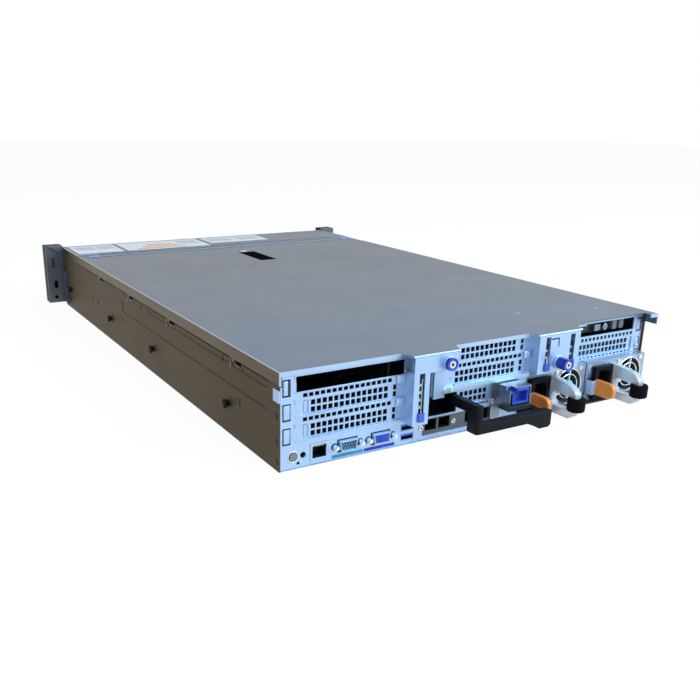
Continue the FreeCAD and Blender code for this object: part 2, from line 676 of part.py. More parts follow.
def thumbscrew(place_xz, reach, length):
    """A captive thumbscrew: collar on the face, head outside, screw and stop ring inside."""
    x, z = place_xz
    face = -reach
    collar = rod(x, face - SCREW_COLLAR_T - CLEAR, z, SCREW_COLLAR_R, SCREW_COLLAR_T, (0, 1, 0))
    head = rod(x, face - SCREW_COLLAR_T - CLEAR - length, z, SCREW_R, length, (0, 1, 0))
    dimple = rod(x, face - SCREW_COLLAR_T - CLEAR - length - 1, z, 2.6, 2.6, (0, 1, 0))
    neck = rod(x, face - SCREW_COLLAR_T, z, SCREW_NECK_R, SCREW_COLLAR_T + SHEET + NUT_L + 1, (0, 1, 0))
    stop = rod(x, face + SHEET + CLEAR, z, SCREW_NECK_R + 1.2, 1.4, (0, 1, 0))
    return join([collar, head, neck, stop]).cut(dimple)


def d_outline(x, z, width, height):
    """The four-cornered outline of a D connector, narrower at its lower side."""
    slope = height * 0.18
    return [(x - width / 2, z + height / 2), (x + width / 2, z + height / 2),
            (x + width / 2 - slope, z - height / 2), (x - width / 2 + slope, z - height / 2)]


def d_prism(x, z, width, height, y0, y1):
    points = d_outline(x, z, width, height)
    wire = Part.makePolygon([Vector(px, y0, pz) for px, pz in points + points[:1]])
    return Part.Face(wire).extrude(Vector(0, y1 - y0, 0))


def dsub(x):
    """A D connector: flange and body behind the wall, shell and jackscrews in front of it."""
    back = SHEET + CLEAR
    flange = box(x - DSUB_FLANGE, x + DSUB_FLANGE, back, back + 1.0, DSUB_Z - 6.2, DSUB_Z + 6.2)
    body = box(x - DSUB_FLANGE, x + DSUB_FLANGE, back + 1.0, PORT_DEPTH, BOARD_TOP, DSUB_Z + 6.2)
    shell = d_prism(x, DSUB_Z, DSUB_W, DSUB_H, -DSUB_REACH, back)
    hollow = d_prism(x, DSUB_Z, DSUB_W - 1.4, DSUB_H - 1.4, -DSUB_REACH - 1, -0.8)
    screws = []
    for side in (-1, 1):
        screws.append(rod(x + side * DSUB_SCREW, -DSUB_REACH + 1, DSUB_Z, 2.4, DSUB_REACH + back, (0, 1, 0)))
    return join([flange, body, shell.cut(hollow)] + screws)


def hollow_port(x0, x1, z0, z1, y0, wall, depth):
    """A port shell on the board with its mouth towards the rear."""
    shell = box(x0, x1, y0, PORT_DEPTH, z0, z1)
    return shell.cut(box(x0 + wall, x1 - wall, y0 - 1, y0 + depth, z0 + wall, z1 - wall))


def io_connectors():
    jack = hollow_port(JACK_X[0] + CLEAR, JACK_X[1] - CLEAR, BOARD_TOP, JACK_Z[1] - CLEAR, -0.4, 1.8, 12.0)
    ports = [jack, dsub(SERIAL_X), dsub(VIDEO_X)]
    shells = []
    tongues = []
    for z in USB_Z:
        x0 = USB_X[0] + CLEAR
        x1 = USB_X[1] - CLEAR
        low = z + CLEAR
        high = z + USB_H - CLEAR
        shells.append(hollow_port(x0, x1, low, high, 0, 0.6, 11.0))
        tongues.append(box(x0 + 1.6, x1 - 1.6, 1.4, 12.0, high - 2.6, high - 1.0))
    riser = box(USB_X[0] + CLEAR, USB_X[1] - CLEAR, SHEET + CLEAR, PORT_DEPTH, BOARD_TOP, USB_Z[1] + 1.0)
    keep = box(USB_X[0], USB_X[1], -1, 11.0, USB_Z[0] + 0.9, USB_Z[0] + USB_H - 0.9)
    ports.append(join(shells + tongues + [riser.cut(keep)]))
    socket = rod(CABLE_JACK_X, SHEET + CLEAR, ID_Z, CABLE_JACK_R + 1.2, PORT_DEPTH - SHEET - CLEAR, (0, 1, 0))
    base = box(CABLE_JACK_X - 4.0, CABLE_JACK_X + 4.0, SHEET + CLEAR, PORT_DEPTH, BOARD_TOP, ID_Z)
    bore = rod(CABLE_JACK_X, 0, ID_Z, CABLE_JACK_R - 0.9, 12.0, (0, 1, 0))
    ports.append(join([socket, base]).cut(bore))
    ports.append(box(ID_X - 4.0, ID_X + 4.0, ID_SWITCH_Y, PORT_DEPTH - 6.0, BOARD_TOP, ID_Z + 4.0))
    return Part.makeCompound(ports)


def id_button():
    cap = rod(ID_X, -ID_REACH, ID_Z, ID_R, ID_REACH + ID_SWITCH_Y - 1.3, (0, 1, 0))
    flange = rod(ID_X, SHEET + CLEAR, ID_Z, ID_R + 0.9, 1.0, (0, 1, 0))
    return join([cap, flange])


def network_card():
    y = SHEET
    board_top = NET_PORT_Z[0] - 1.0
    x0, x1 = NET_X
    plate = box(x0 - 2, x1 + 1.4, y, y + 1.0, BOARD_TOP + CLEAR, NET_Z[1] + 1.0)
    windows = []
    ports = []
    for x in NET_PORTS:
        windows.append(box(x, x + NET_PORT_W, y - 1, y + 2, NET_PORT_Z[0], NET_PORT_Z[1]))
        cage = box(x - NET_CAGE_SIDE, x + NET_PORT_W + NET_CAGE_SIDE, y + 1.0, NET_CAGE_D,
                   board_top, NET_PORT_Z[1] + NET_CAGE_ROOF)
        ports.append(cage.cut(box(x, x + NET_PORT_W, y, NET_PORT_DEPTH, NET_PORT_Z[0], NET_PORT_Z[1])))
    board = box(x0, x1, y + 1.0, NET_BOARD, board_top - BOARD_T, board_top)
    chip_x = x0 + NET_CHIP_X
    chip = box(chip_x, chip_x + NET_CHIP_W, NET_CHIP_Y, NET_CHIP_Y + NET_CHIP_W,
               board_top, board_top + NET_CHIP_H)
    return join([plate.cut(windows), board, chip] + ports)


def rear_handle():
    """The lifting handle: two arms into the chassis, a raised left corner and a low bar."""
    x0, x1 = HANDLE_X
    y = -REACH
    left = box(x0, x0 + ARM_W, y, ARM_IN, ARM_Z[0], ARM_Z[1])
    post = box(x0, x0 + ARM_W, y, y + POST_D, BAR_Z[0], ARM_Z[1])
    bar = box(x0, x1, y, y + BAR_D, BAR_Z[0], BAR_Z[1])
    low = BULGE_Z[0]
    bulge_x = x1 - BULGE_L
    outline = [(bulge_x - 12.0, BAR_Z[0]), (bulge_x, low + 2.0), (bulge_x + 3.0, low), (x1 - 2.5, low),
               (x1, low + 2.5), (x1, BULGE_Z[1] - 1.5), (x1 - 1.5, BULGE_Z[1]),
               (bulge_x, BULGE_Z[1]), (bulge_x - 12.0, BAR_Z[1])]
    wire = Part.makePolygon([Vector(px, y, pz) for px, pz in outline + outline[:1]])
    bulge = Part.Face(wire).extrude(Vector(0, BAR_D, 0))
    right = box(x1 - ARM_W, x1, y, ARM_IN, RIGHT_ARM_Z[0], RIGHT_ARM_Z[1])
    body = join([left, post, bar, bulge, right])
    body = round_edges(body, 3.0, lambda c, t: c.y < y + 0.1 and abs(t.z) > 0.9 and c.x < x0 + 1)
    slots = []
    for start in (-8.0, -21.0):
        slots.append(box(x0 - 1, x0 + 1.2, start - 8.0, start, ARM_Z[0] + 2.6, ARM_Z[1] - 2.6))
    return body.cut(slots)


def handle_bracket():
    x0, x1 = LATCH_BOX_X
    z0, z1 = LATCH_BOX_Z
    y = -LATCH_BOX_D
    shell = box(x0, x1, y, 0, z0, z1)
    inner = box(x0 + LATCH_BOX_T, x1 - LATCH_BOX_T, y - 1, -LATCH_BOX_T,
                z0 + LATCH_BOX_T, z1 - LATCH_BOX_T)
    lip = box(x0 + LATCH_BOX_T, x1 - LATCH_BOX_T, y, y + 2.0, z0 + LATCH_BOX_T, z0 + LATCH_BOX_T + 4.0)
    foot = box(x0 - LATCH_FOOT_X[0], x0 + LATCH_FOOT_X[1], -LATCH_BOX_T, 0, LATCH_FOOT_Z, z1 + 0.8)
    body = join([shell.cut(inner), lip, foot])
    return body.cut(box(x0 - 1, x0 + 6.0, y - 1, y + 5.0, z1 - 3.0, z1 + 1))


def handle_latch():
    """The blue release: a scooped push block that slides forward in its bracket."""
    gap = LATCH_BOX_T + CLEAR
    x0 = LATCH_BOX_X[0] + gap
    x1 = LATCH_BOX_X[1] - gap
    z0 = LATCH_BOX_Z[0] + gap + 4.0
    z1 = LATCH_BOX_Z[1] - gap
    y0 = -LATCH_BOX_D - 0.6
    block = box(x0, x1, y0, y0 + LATCH_BOX_D - LATCH_BOX_T - RELEASE_TRAVEL - 1.0, z0, z1)
    scoop = box(x0 + 2.6, x1 - 3.4, y0 - 1, y0 + 7.0, z0 + 2.6, z1 - 3.0)
    return block.cut([scoop, box(x0 - 1, x0 + 6.5, y0 - 1, y0 + 7.0, z1 - 3.4, z1 + 1)])


def supply_case():
    x0 = SUPPLY_X
    y0 = SUPPLY_Y
    z0 = SUPPLY_Z
    body = box(x0, x0 + SUPPLY_W, y0, y0 + SUPPLY_LEN, z0, z0 + SUPPLY_H)
    inlet = box(x0 + INLET_X[0], x0 + INLET_X[1], y0 - 1, y0 + INLET_DEPTH, INLET_Z[0], INLET_Z[1])
    slot = box(x0 - 1, x0 + INLET_X[0] - 0.8, y0 - 1, TRIP_PIVOT_Y + 3.0, TRIP_Z[0] - 1.2, TRIP_Z[1] + 1.2)
    fan = rod(x0 + SUPPLY_FAN_X, y0 - 1, z0 + SUPPLY_H / 2, SUPPLY_FAN_R, SUPPLY_FAN_DEPTH + 1, (0, 1, 0))
    tail = [box(x0 + 8, x0 + 40, y0 + SUPPLY_LEN - 6, y0 + SUPPLY_LEN + 1, z0 + 4, z0 + 12)]
    axle = rod(x0 + SUPPLY_FAN_X, y0 + 2.6, z0 + SUPPLY_H / 2, SUPPLY_AXLE_R,
               SUPPLY_FAN_DEPTH, (0, 1, 0))
    hub = rod(x0 + SUPPLY_FAN_X, y0 + 0.4, z0 + SUPPLY_H / 2, 5.0, 2.2, (0, 1, 0))
    spokes = []
    for turn in SUPPLY_SPOKES:
        arm = box(x0 + SUPPLY_FAN_X, x0 + SUPPLY_FAN_X + SUPPLY_FAN_R + 0.6, y0 + 0.6, y0 + 2.2,
                  z0 + SUPPLY_H / 2 - 0.9, z0 + SUPPLY_H / 2 + 0.9)
        arm.rotate(Vector(x0 + SUPPLY_FAN_X, 0, z0 + SUPPLY_H / 2), Vector(0, 1, 0), turn)
        spokes.append(arm)
    return join([body.cut([inlet, slot, fan] + tail), axle, hub] + spokes)


def supply_inlet():
    """The black mains inlet: a shrouded socket with its three blades."""
    x0 = SUPPLY_X + INLET_X[0]
    x1 = SUPPLY_X + INLET_X[1]
    y0 = SUPPLY_Y - INLET_REACH
    body = box(x0, x1, y0, SUPPLY_Y + INLET_DEPTH, INLET_Z[0], INLET_Z[1])
    cx = (x0 + x1) / 2
    cz = (INLET_Z[0] + INLET_Z[1]) / 2
    socket = box(cx - SOCKET_W / 2, cx + SOCKET_W / 2, y0 - 1, y0 + SOCKET_DEPTH,
                 cz - SOCKET_H / 2, cz + SOCKET_H / 2)
    socket = socket.makeChamfer(3.6, [e for e in socket.Edges if abs(e.tangentAt(0).y) > 0.9
                                      and e.CenterOfMass.x > cx])
    blades = []
    for dx, dz in ((0, 0), (-3.0, 7.0), (-3.0, -7.0)):
        blades.append(box(cx + dx - 2.0, cx + dx + 2.0, y0 + 4, y0 + SOCKET_DEPTH + 0.5,
                          cz + dz - 1.0, cz + dz + 1.0))
    return join([body.cut(socket)] + blades)


def supply_grip():
    """The looped pull handle: an upright loop that stands out of the supply's rear face."""
    x0 = SUPPLY_X + GRIP_X
    y1 = SUPPLY_Y
    y0 = y1 - GRIP_REACH
    z0, z1 = GRIP_Z
    loop = box(x0, x0 + GRIP_T, y0, y1, z0, z1)
    loop = round_edges(loop, 10.0, lambda c, t: c.y < y0 + 0.1 and abs(t.x) > 0.9)
    hole = box(x0 - 1, x0 + GRIP_T + 1, y0 + GRIP_BAND, y1 - 6.0, z0 + GRIP_BAND - 1.0, z1 - GRIP_UPPER)
    hole = hole.makeChamfer(3.0, [e for e in hole.Edges if abs(e.tangentAt(0).x) > 0.9])
    return loop.cut(hole)


def supply_strap():
    """A cable strap rolled round the loop's rear bar."""
    cx = SUPPLY_X + GRIP_X + GRIP_T / 2
    y0 = SUPPLY_Y - GRIP_REACH
    cy = -REACH + STRAP_R
    roll = rod(cx, cy, STRAP_Z[0], STRAP_R, STRAP_Z[1] - STRAP_Z[0], (0, 0, 1))
    bar = box(cx - GRIP_T / 2, cx + GRIP_T / 2, y0, SUPPLY_Y, STRAP_Z[0] - 1, STRAP_Z[1] + 1)
    return roll.cut(bar)


def supply_latch():
    """The sprung release: a steel strip beside the inlet with a thumb piece at its rear end."""
    x0 = SUPPLY_X + TRIP_X
    z0, z1 = TRIP_Z
    tip_x = SUPPLY_X + THUMB_X
    strip = box(x0, x0 + TRIP_T, THUMB_Y - TRIP_T, TRIP_PIVOT_Y, z0, z1)
    bridge = box(x0, tip_x + 1, THUMB_Y - TRIP_T, THUMB_Y, z0, z1)
    pivot = rod(x0 + TRIP_T / 2, TRIP_PIVOT_Y, z0 - 1.2 + CLEAR, 1.2, z1 - z0 + 2.4 - 2 * CLEAR, (0, 0, 1))
    end = THUMB_Y - THUMB_LEN
    thumb = box(tip_x, tip_x + THUMB_T, end, THUMB_Y, z0, z1 + 1.0)
    thumb = round_edges(thumb, 7.0, lambda c, t: c.y < end + 0.1 and abs(t.x) > 0.9)
    dimple = rod(tip_x - 1, end + 9.0, (z0 + z1) / 2 + 0.5, 5.2, 1.8, (1, 0, 0))
    return join([strip, bridge, pivot, thumb.cut(dimple)])


def fan_rotor(x, y, z, hub_r, tip_r, length, blades, hole_r):
    """A rotor: a hub with a bore for its axle, and twisted blades."""
    hub = rod(x, y, z, hub_r, length, (0, 1, 0))
    parts = [hub]
    half = length / 2 * sin(radians(BLADE_PITCH)) + 1.0
    tip = sqrt(tip_r ** 2 - half ** 2)
    for i in range(blades):
        blade = box(x, x + tip, y + 1.0, y + 1.0 + length * 0.95, z - 0.5, z + 0.5)
        blade.rotate(Vector(x, y + length / 2, z), Vector(1, 0, 0), BLADE_PITCH)
        trim = box(x, x + tip, y + 0.2, y + length - 0.2, z - length, z + length)
        blade = blade.common(trim)
        blade.rotate(Vector(x, y, z), Vector(0, 1, 0), i * 360.0 / blades)
        parts.append(blade)
    bore = rod(x, y - 1, z, hole_r, length + 2, (0, 1, 0))
    return join(parts).cut(bore)


def supply_rotor():
    length = SUPPLY_FAN_DEPTH - 6.0
    return fan_rotor(SUPPLY_X + SUPPLY_FAN_X, SUPPLY_Y + 3.6, SUPPLY_Z + SUPPLY_H / 2,
                     SUPPLY_HUB_R, SUPPLY_FAN_R - 1.0, length, BLADES, SUPPLY_AXLE_R + CLEAR)


def cover_skin(y0, y1, skirt_z):
    """The folded skin of a top cover: a top plate with a skirt bent down along each side."""
    top = box(BEND, BODY_W - BEND, y0, y1, COVER_UNDER, BODY_H)
    outline = [(0, skirt_z), (COVER_T, skirt_z), (COVER_T, COVER_UNDER), (BEND, BODY_H), (0, BODY_H - BEND)]
    wire = Part.makePolygon([Vector(x, y0, z) for x, z in outline + outline[:1]])
    left = Part.Face(wire).extrude(Vector(0, y1 - y0, 0))
    return [top, left, mirrored(left)]


def bent_edge(sheet, y):
    """Takes the sharp corner off the top edge that lies at y, as a fold does."""
    edges = [e for e in sheet.Edges if abs(e.CenterOfMass.y - y) < 0.01 and e.CenterOfMass.z > BODY_H - 0.01]
    return sheet.makeChamfer(BEND, edges)


def tongue(x0, x1, reach):
    """The part of the cover that reaches out over a riser bracket, with slanted shoulders."""
    outline = [(x0 - CORNER_CUT, 0), (x0, -reach), (x1, -reach), (x1 + CORNER_CUT, 0)]
    return bent_edge(plan(outline, COVER_UNDER, COVER_T), -reach)


def cover_hooks():
    low = SEAM_Z - SHEET - CLEAR - COVER_T
    hooks = []
    for y in HOOK_Y:
        drop = box(0, COVER_T, y, y + HOOK_L, low, SEAM_Z + 1)
        leg = box(0, UPPER_IN + 0.8, y, y + HOOK_L, low, low + COVER_T)
        hooks += [drop, leg, mirrored(drop), mirrored(leg)]
    return hooks


def latch_pocket():
    """The pressed well that holds the cover latch, with the bridge that holds its lock."""
    x0, x1 = POCKET_X
    y0, y1 = POCKET_Y
    t = POCKET_T
    floor_z = BODY_H - POCKET_DEPTH
    outer = box(x0 - t, x1 + t, y0 - t, y1 + t, floor_z - t, COVER_UNDER)
    well = outer.cut(box(x0, x1, y0, y1, floor_z, BODY_H))
    bridge = box(x0 - t, x1 + t, y1 - LOCK_BRIDGE, y1, floor_z, BODY_H)
    bore = rod((x0 + x1) / 2, y1 - LOCK_BRIDGE / 2, floor_z - 2, LOCK_R + CLEAR, POCKET_DEPTH + 4, (0, 0, 1))
    return well, bridge.cut(bore), bore


def lever_pin_place():
    return POCKET_Y[0] + LEVER_PIN_IN, BODY_H - LEVER_PIN_DROP


def top_cover():
    parts = cover_skin(COVER_REAR, COVER_LEN, SEAM_Z + CLEAR) + cover_hooks()
    flange = BODY_H - COVER_FLANGE
    for x0, x1 in ((0, LEFT_POST_X - CLEAR), (KNOB_END_X + CLEAR, MIDDLE_POST_X[0] - CLEAR),
                   (NOTCH_X[1], BODY_W)):
        parts.append(bent_edge(box(x0, x1, COVER_REAR, -CLEAR, flange, BODY_H), COVER_REAR))
    parts.append(tongue(LEFT_POST_X - 1, KNOB_END_X + 1, LEFT_POST_REACH + CLEAR))
    parts.append(tongue(MIDDLE_POST_X[0] - 1, MIDDLE_POST_X[1] + 2, MIDDLE_POST_REACH + CLEAR))
    well, bridge, bore = latch_pocket()
    strip_y = COVER_LEN - STRIP_FRONT
    cuts = [box(NOTCH_X[0], NOTCH_X[1], COVER_REAR - 1, NOTCH_Y, flange - 1, BODY_H + 1),
            box(-1, BODY_W + 1, strip_y, RIB_Y[0], BODY_H - STRIP_DEPTH, BODY_H + 1),
            box(-1, BODY_W + 1, RIB_Y[1], COVER_LEN + 1, BODY_H - STRIP_DEPTH, BODY_H + 1),
            box(-1, RIB_X[0], strip_y, COVER_LEN + 1, BODY_H - STRIP_DEPTH, BODY_H + 1),
            box(RIB_X[1], BODY_W + 1, strip_y, COVER_LEN + 1, BODY_H - STRIP_DEPTH, BODY_H + 1),
            box(POCKET_X[0], POCKET_X[1], POCKET_Y[0], POCKET_Y[1], COVER_UNDER - 1, BODY_H + 1)]
    pin_y, pin_z = lever_pin_place()
    pin = rod(POCKET_X[0] - POCKET_T, pin_y, pin_z, LEVER_PIN_R, POCKET_X[1] - POCKET_X[0] + 2 * POCKET_T,
              (1, 0, 0))
    return join([join(parts).cut(cuts), well, bridge, pin]).cut(bore)


def cover_latch_lever():
    """The ridged lever in the cover's well; it swings up about the pin at its rear end."""
    x0 = POCKET_X[0] + 0.6
    x1 = POCKET_X[1] - 0.6
    pin_y, pin_z = lever_pin_place()
    y1 = POCKET_Y[1] - LOCK_BRIDGE - 1.0
    z1 = BODY_H - 0.2
    z0 = z1 - LEVER_T
    outline = [(pin_y, z0), (y1, z0), (y1, z1), (pin_y, z1)]
    arm = profile(outline, x0, x1 - x0)
    boss = rod(x0, pin_y, pin_z, 2.9, x1 - x0, (1, 0, 0))
    ridges = []
    for i in range(RIDGES):
        y = pin_y + 12.0 + i * RIDGE_STEP
        ridges.append(box(x0 + 3, x1 - 3, y, y + 2.6, z1 - 0.8, z1 + 1))
    bore = rod(x0 - 1, pin_y, pin_z, LEVER_PIN_R + CLEAR, x1 - x0 + 2, (1, 0, 0))
    return join([arm, boss]).cut(ridges + [bore])


def cover_latch_lock():
    cx = (POCKET_X[0] + POCKET_X[1]) / 2
    cy = POCKET_Y[1] - LOCK_BRIDGE / 2
    low = BODY_H - POCKET_DEPTH - POCKET_T
    body = rod(cx, cy, low, LOCK_R, BODY_H - low, (0, 0, 1))
    return body.cut(box(cx - 3.6, cx + 3.6, cy - 0.8, cy + 0.8, BODY_H - 1.6, BODY_H + 1))


def front_top_cover():
    """The fixed front part of the top, with stiffening beads and a front flange."""
    y0 = COVER_LEN + 2 * CLEAR
    parts = cover_skin(y0, DEPTH, SEAM_Z)
    parts.append(box(CAGE_X, BODY_W - CAGE_X, DEPTH - COVER_T, DEPTH, WALL_TOP - 1.0, BODY_H))
    grooves = []
    for y in (y0 + 4.0, y0 + 9.0):
        grooves.append(box(RIB_X[0], RIB_X[1], y, y + 2.0, BODY_H - STRIP_DEPTH, BODY_H + 1))
    return join(parts).cut(grooves)


def bay_place(column, row):
    x0 = CAGE_X + CAGE_T + column * (BAY_W + CAGE_T)
    z0 = SHEET + CAGE_T + row * (BAY_H + CAGE_T)
    return x0, z0


def drive_cage():
    """Three shelves with dividers between them, and the vented strip above the bays."""
    x0 = CAGE_X
    x1 = BODY_W - CAGE_X
    plates = []
    for row in range(3):
        z = SHEET + row * (BAY_H + CAGE_T)
        plates.append(box(x0, x1, CAGE_Y, DEPTH, z, z + CAGE_T))
    for row in range(2):
        z = SHEET + CAGE_T + row * (BAY_H + CAGE_T)
        for column in range(COLUMNS + 1):
            x = x0 + column * (BAY_W + CAGE_T)
            plates.append(box(x, x + CAGE_T, CAGE_Y, DEPTH, z, z + BAY_H))
    face = DEPTH - SHEET - CLEAR
    top = WALL_TOP - 1.0 - CLEAR
    grille = box(x0, x1, face - SHEET, face, DRIVE_TOP, top)
    slots = []
    pitch = (x1 - x0 - 20.0) / GRILLE_SLOTS
    for share in (0.25, 0.75):
        z = DRIVE_TOP + share * (top - DRIVE_TOP)
        slots += holes(x0 + 10.0 + pitch / 2, x1 - 10.0 - pitch / 2, z, pitch - 5.0, 5.0,
                       face - SHEET - 1, face + 1, pitch)
    return Part.makeCompound(plates + [grille.cut(slots)])


def drive_backplane():
    x0 = CAGE_X
    x1 = BODY_W - CAGE_X
    board = box(x0, x1, CAGE_Y - BACKPLANE_T, CAGE_Y, SHEET, DRIVE_TOP + 10.0)
    sockets = []
    for row in (0, 1):
        for column in range(COLUMNS):
            bay_x, bay_z = bay_place(column, row)
            sockets.append(box(bay_x + 12, bay_x + 54, CAGE_Y, CAGE_Y + 4.5, bay_z + 4, bay_z + 11))
    windows = []
    for column in range(COLUMNS):
        bay_x, bay_z = bay_place(column, 1)
        windows.append(box(bay_x + BAY_W - 45, bay_x + BAY_W - 9, CAGE_Y - BACKPLANE_T - 1, CAGE_Y + 1,
                           bay_z + 6, bay_z + 20))
    return join([board] + sockets).cut(windows)


def bezel(x0, z0):
    """The plastic front of one bay, before its pocket or its slots are cut."""
    return box(x0 + CLEAR, x0 + BAY_W - CLEAR, DEPTH + CLEAR, FACE_Y, z0 + CLEAR, z0 + BAY_H - CLEAR)


def drive_carrier(x0, z0):
    tray_x0 = x0 + CLEAR
    tray_x1 = x0 + BAY_W - CLEAR
    rear = CAGE_Y + DRIVE_GAP + 2.0
    base = box(tray_x0, tray_x1, rear, DEPTH + CLEAR, z0 + CLEAR, z0 + CLEAR + TRAY_T)
    left = box(tray_x0, tray_x0 + TRAY_T, rear, DEPTH + CLEAR, z0 + CLEAR, z0 + TRAY_H)
    right = box(tray_x1 - TRAY_T, tray_x1, rear, DEPTH + CLEAR, z0 + CLEAR, z0 + TRAY_H)
    pocket = box(tray_x0 + 3.0, tray_x0 + 5.0 + LEVER_L + 2.0, FACE_Y - CARRIER_LEVER_T - 1.0, FACE_Y + 1,
                 z0 + (BAY_H - LEVER_H) / 2 - 0.6, z0 + (BAY_H + LEVER_H) / 2 + 0.6)
    hinge_x, hinge_y = carrier_hinge(x0)
    pin = rod(hinge_x, hinge_y, z0 + 3.0, HINGE_R - CLEAR, BAY_H - 6.0, (0, 0, 1))
    tray = join([base, left, right, bezel(x0, z0).cut(pocket), pin])
    drive = box(tray_x0 + TRAY_T + 0.6, tray_x1 - TRAY_T - 0.6, rear + 2.0, rear + 2.0 + DRIVE_LEN,
                z0 + CLEAR + TRAY_T, z0 + BAY_H - 1.0)
    return Part.makeCompound([tray, drive])


def carrier_hinge(x0):
    return x0 + CLEAR + 6.0, FACE_Y - CARRIER_LEVER_T / 2


def carrier_lever(x0, z0):
    hinge_x, hinge_y = carrier_hinge(x0)
    z_low = z0 + (BAY_H - LEVER_H) / 2
    y0 = FACE_Y - CARRIER_LEVER_T
    arm = box(hinge_x, hinge_x + LEVER_L - 4.0, y0, FACE_Y, z_low, z_low + LEVER_H)
    knuckle = rod(hinge_x, hinge_y, z_low, CARRIER_LEVER_T / 2, LEVER_H, (0, 0, 1))
    windows = []
    for i in range(3):
        x = hinge_x + 14.0 + i * 20.0
        windows.append(box(x, x + 15.0, y0 - 1, FACE_Y + 1, z_low + 4.0, z_low + LEVER_H - 4.0))
    bore = rod(hinge_x, hinge_y, z_low - 1, HINGE_R, LEVER_H + 2, (0, 0, 1))
    return join([arm, knuckle]).cut(windows + [bore])


def drive_blanks():
    """The fillers of the empty bays: a vented front with a short box behind it."""
    blanks = []
    for column in range(COLUMNS):
        x0, z0 = bay_place(column, 0)
        front = bezel(x0, z0)
        sleeve = box(x0 + CLEAR, x0 + BAY_W - CLEAR, DEPTH - BLANK_LEN, DEPTH + CLEAR,
                     z0, z0 + BAY_H - CLEAR)
        cuts = [box(x0 + BLANK_T, x0 + BAY_W - BLANK_T, DEPTH - BLANK_LEN - 1, DEPTH - BLANK_T,
                    z0 + BLANK_T, z0 + BAY_H - BLANK_T)]
        pitch = (BAY_W - 14.0) / BLANK_SLOTS
        cuts += holes(x0 + 7.0 + pitch / 2, x0 + BAY_W - 7.0 - pitch / 2, z0 + BAY_H / 2, pitch - 5.0,
                      BAY_H - 16.0, DEPTH - BLANK_T - 1, FACE_Y + 1, pitch)
        blanks.append(join([front, sleeve]).cut(cuts))
    return Part.makeCompound(blanks)


def fan_place(i):
    pitch = (BODY_W - 2 * CAGE_X) / FANS
    return CAGE_X + pitch * (i + 0.5), SHEET + FAN_SIZE / 2


def fan_cage():
    """The fan wall: four framed fans side by side, each with a motor mount on three struts."""
    pitch = (BODY_W - 2 * CAGE_X) / FANS
    frames = []
    for i in range(FANS):
        x, z = fan_place(i)
        frame = box(x - pitch / 2, x + pitch / 2, FAN_Y, FAN_Y + FAN_D, SHEET, SHEET + FAN_SIZE)
        frame = frame.cut(rod(x, FAN_Y - 1, z, FAN_BORE_R, FAN_D + 2, (0, 1, 0)))
        plate = rod(x, FAN_Y, z, FAN_HUB_R, FAN_MOUNT_T, (0, 1, 0))
        mounts = [plate, rod(x, FAN_Y + FAN_MOUNT_T, z, FAN_AXLE_R, FAN_D - 10.0, (0, 1, 0))]
        for turn in FAN_STRUTS:
            strut = box(x, x + FAN_BORE_R + 0.8, FAN_Y, FAN_Y + FAN_MOUNT_T, z - 1.5, z + 1.5)
            strut.rotate(Vector(x, 0, z), Vector(0, 1, 0), turn)
            mounts.append(strut)
        frames.append(join([frame] + mounts))
    return Part.makeCompound(frames)


def main_rotor(i):
    x, z = fan_place(i)
    return fan_rotor(x, FAN_Y + FAN_MOUNT_T + 2 * CLEAR, z, FAN_HUB_R, FAN_TIP_R, FAN_D - 8.0, BLADES,
                     FAN_AXLE_R + CLEAR)


def motherboard():
    """The main board on its standoffs, cut back beside the supplies."""
    wide = box(UPPER_IN + 1.4, BODY_W - UPPER_IN - 1.4, CAGE_LEN + 4.0, BOARD_FRONT, BOARD_Z, BOARD_TOP)
    narrow = box(UPPER_IN + 1.4, BOARD_NARROW, SHEET + 0.6, CAGE_LEN + 4.0, BOARD_Z, BOARD_TOP)
    standoffs = []
    for x in STANDOFF_X + (BOARD_NARROW - 16.0,):
        for y in STANDOFF_Y:
            standoffs.append(box(x - 3, x + 3, y - 3, y + 3, SHEET, BOARD_Z))
    sockets = []
    for x in SINK_X:
        sockets.append(box(x + 4, x + SINK_W - 4, SINK_Y[0] + 16, SINK_Y[1] - 16,
                           BOARD_TOP, BOARD_TOP + CPU_SOCKET_H))
    return join([wide, narrow] + standoffs + sockets)


def heatsinks():
    sinks = []
    for x0 in SINK_X:
        z0 = BOARD_TOP + CPU_SOCKET_H
        base = box(x0, x0 + SINK_W, SINK_Y[0], SINK_Y[1], z0, z0 + 4.0)
        fins = []
        pitch = (SINK_W - 1.0) / (FINS - 1)
        for i in range(FINS):
            x = x0 + i * pitch
            fins.append(box(x, x + 1.0, SINK_Y[0], SINK_Y[1], z0 + 4.0, z0 + SINK_H))
        sinks.append(join([base] + fins))
    return Part.makeCompound(sinks)


def memory_modules():
    """Memory modules in banks of four on both sides of each processor."""
    centre = (SINK_Y[0] + SINK_Y[1]) / 2
    modules = []
    starts = []
    for x in SINK_X:
        starts += [x - MODULES * MODULE_STEP, x + SINK_W + MODULE_GAP]
    for start in starts:
        for i in range(MODULES):
            x = start + i * MODULE_STEP
            modules.append(box(x, x + MODULE_T, centre - MODULE_LEN / 2, centre + MODULE_LEN / 2,
                               BOARD_TOP, BOARD_TOP + MODULE_H))
    return Part.makeCompound(modules)


def air_shroud():
    x0 = UPPER_IN + 3.0
    x1 = SINK_X[1] + SINK_W + 56.0
    y0, y1 = SHROUD_Y
    roof = box(x0, x1, y0, y1, SHROUD_TOP - SHROUD_T, SHROUD_TOP)
    left = box(x0, x0 + SHROUD_T, y0, y1, BOARD_TOP, SHROUD_TOP)
    right = box(x1 - SHROUD_T, x1, y0, y1, BOARD_TOP, SHROUD_TOP)
    return join([roof, left, right])


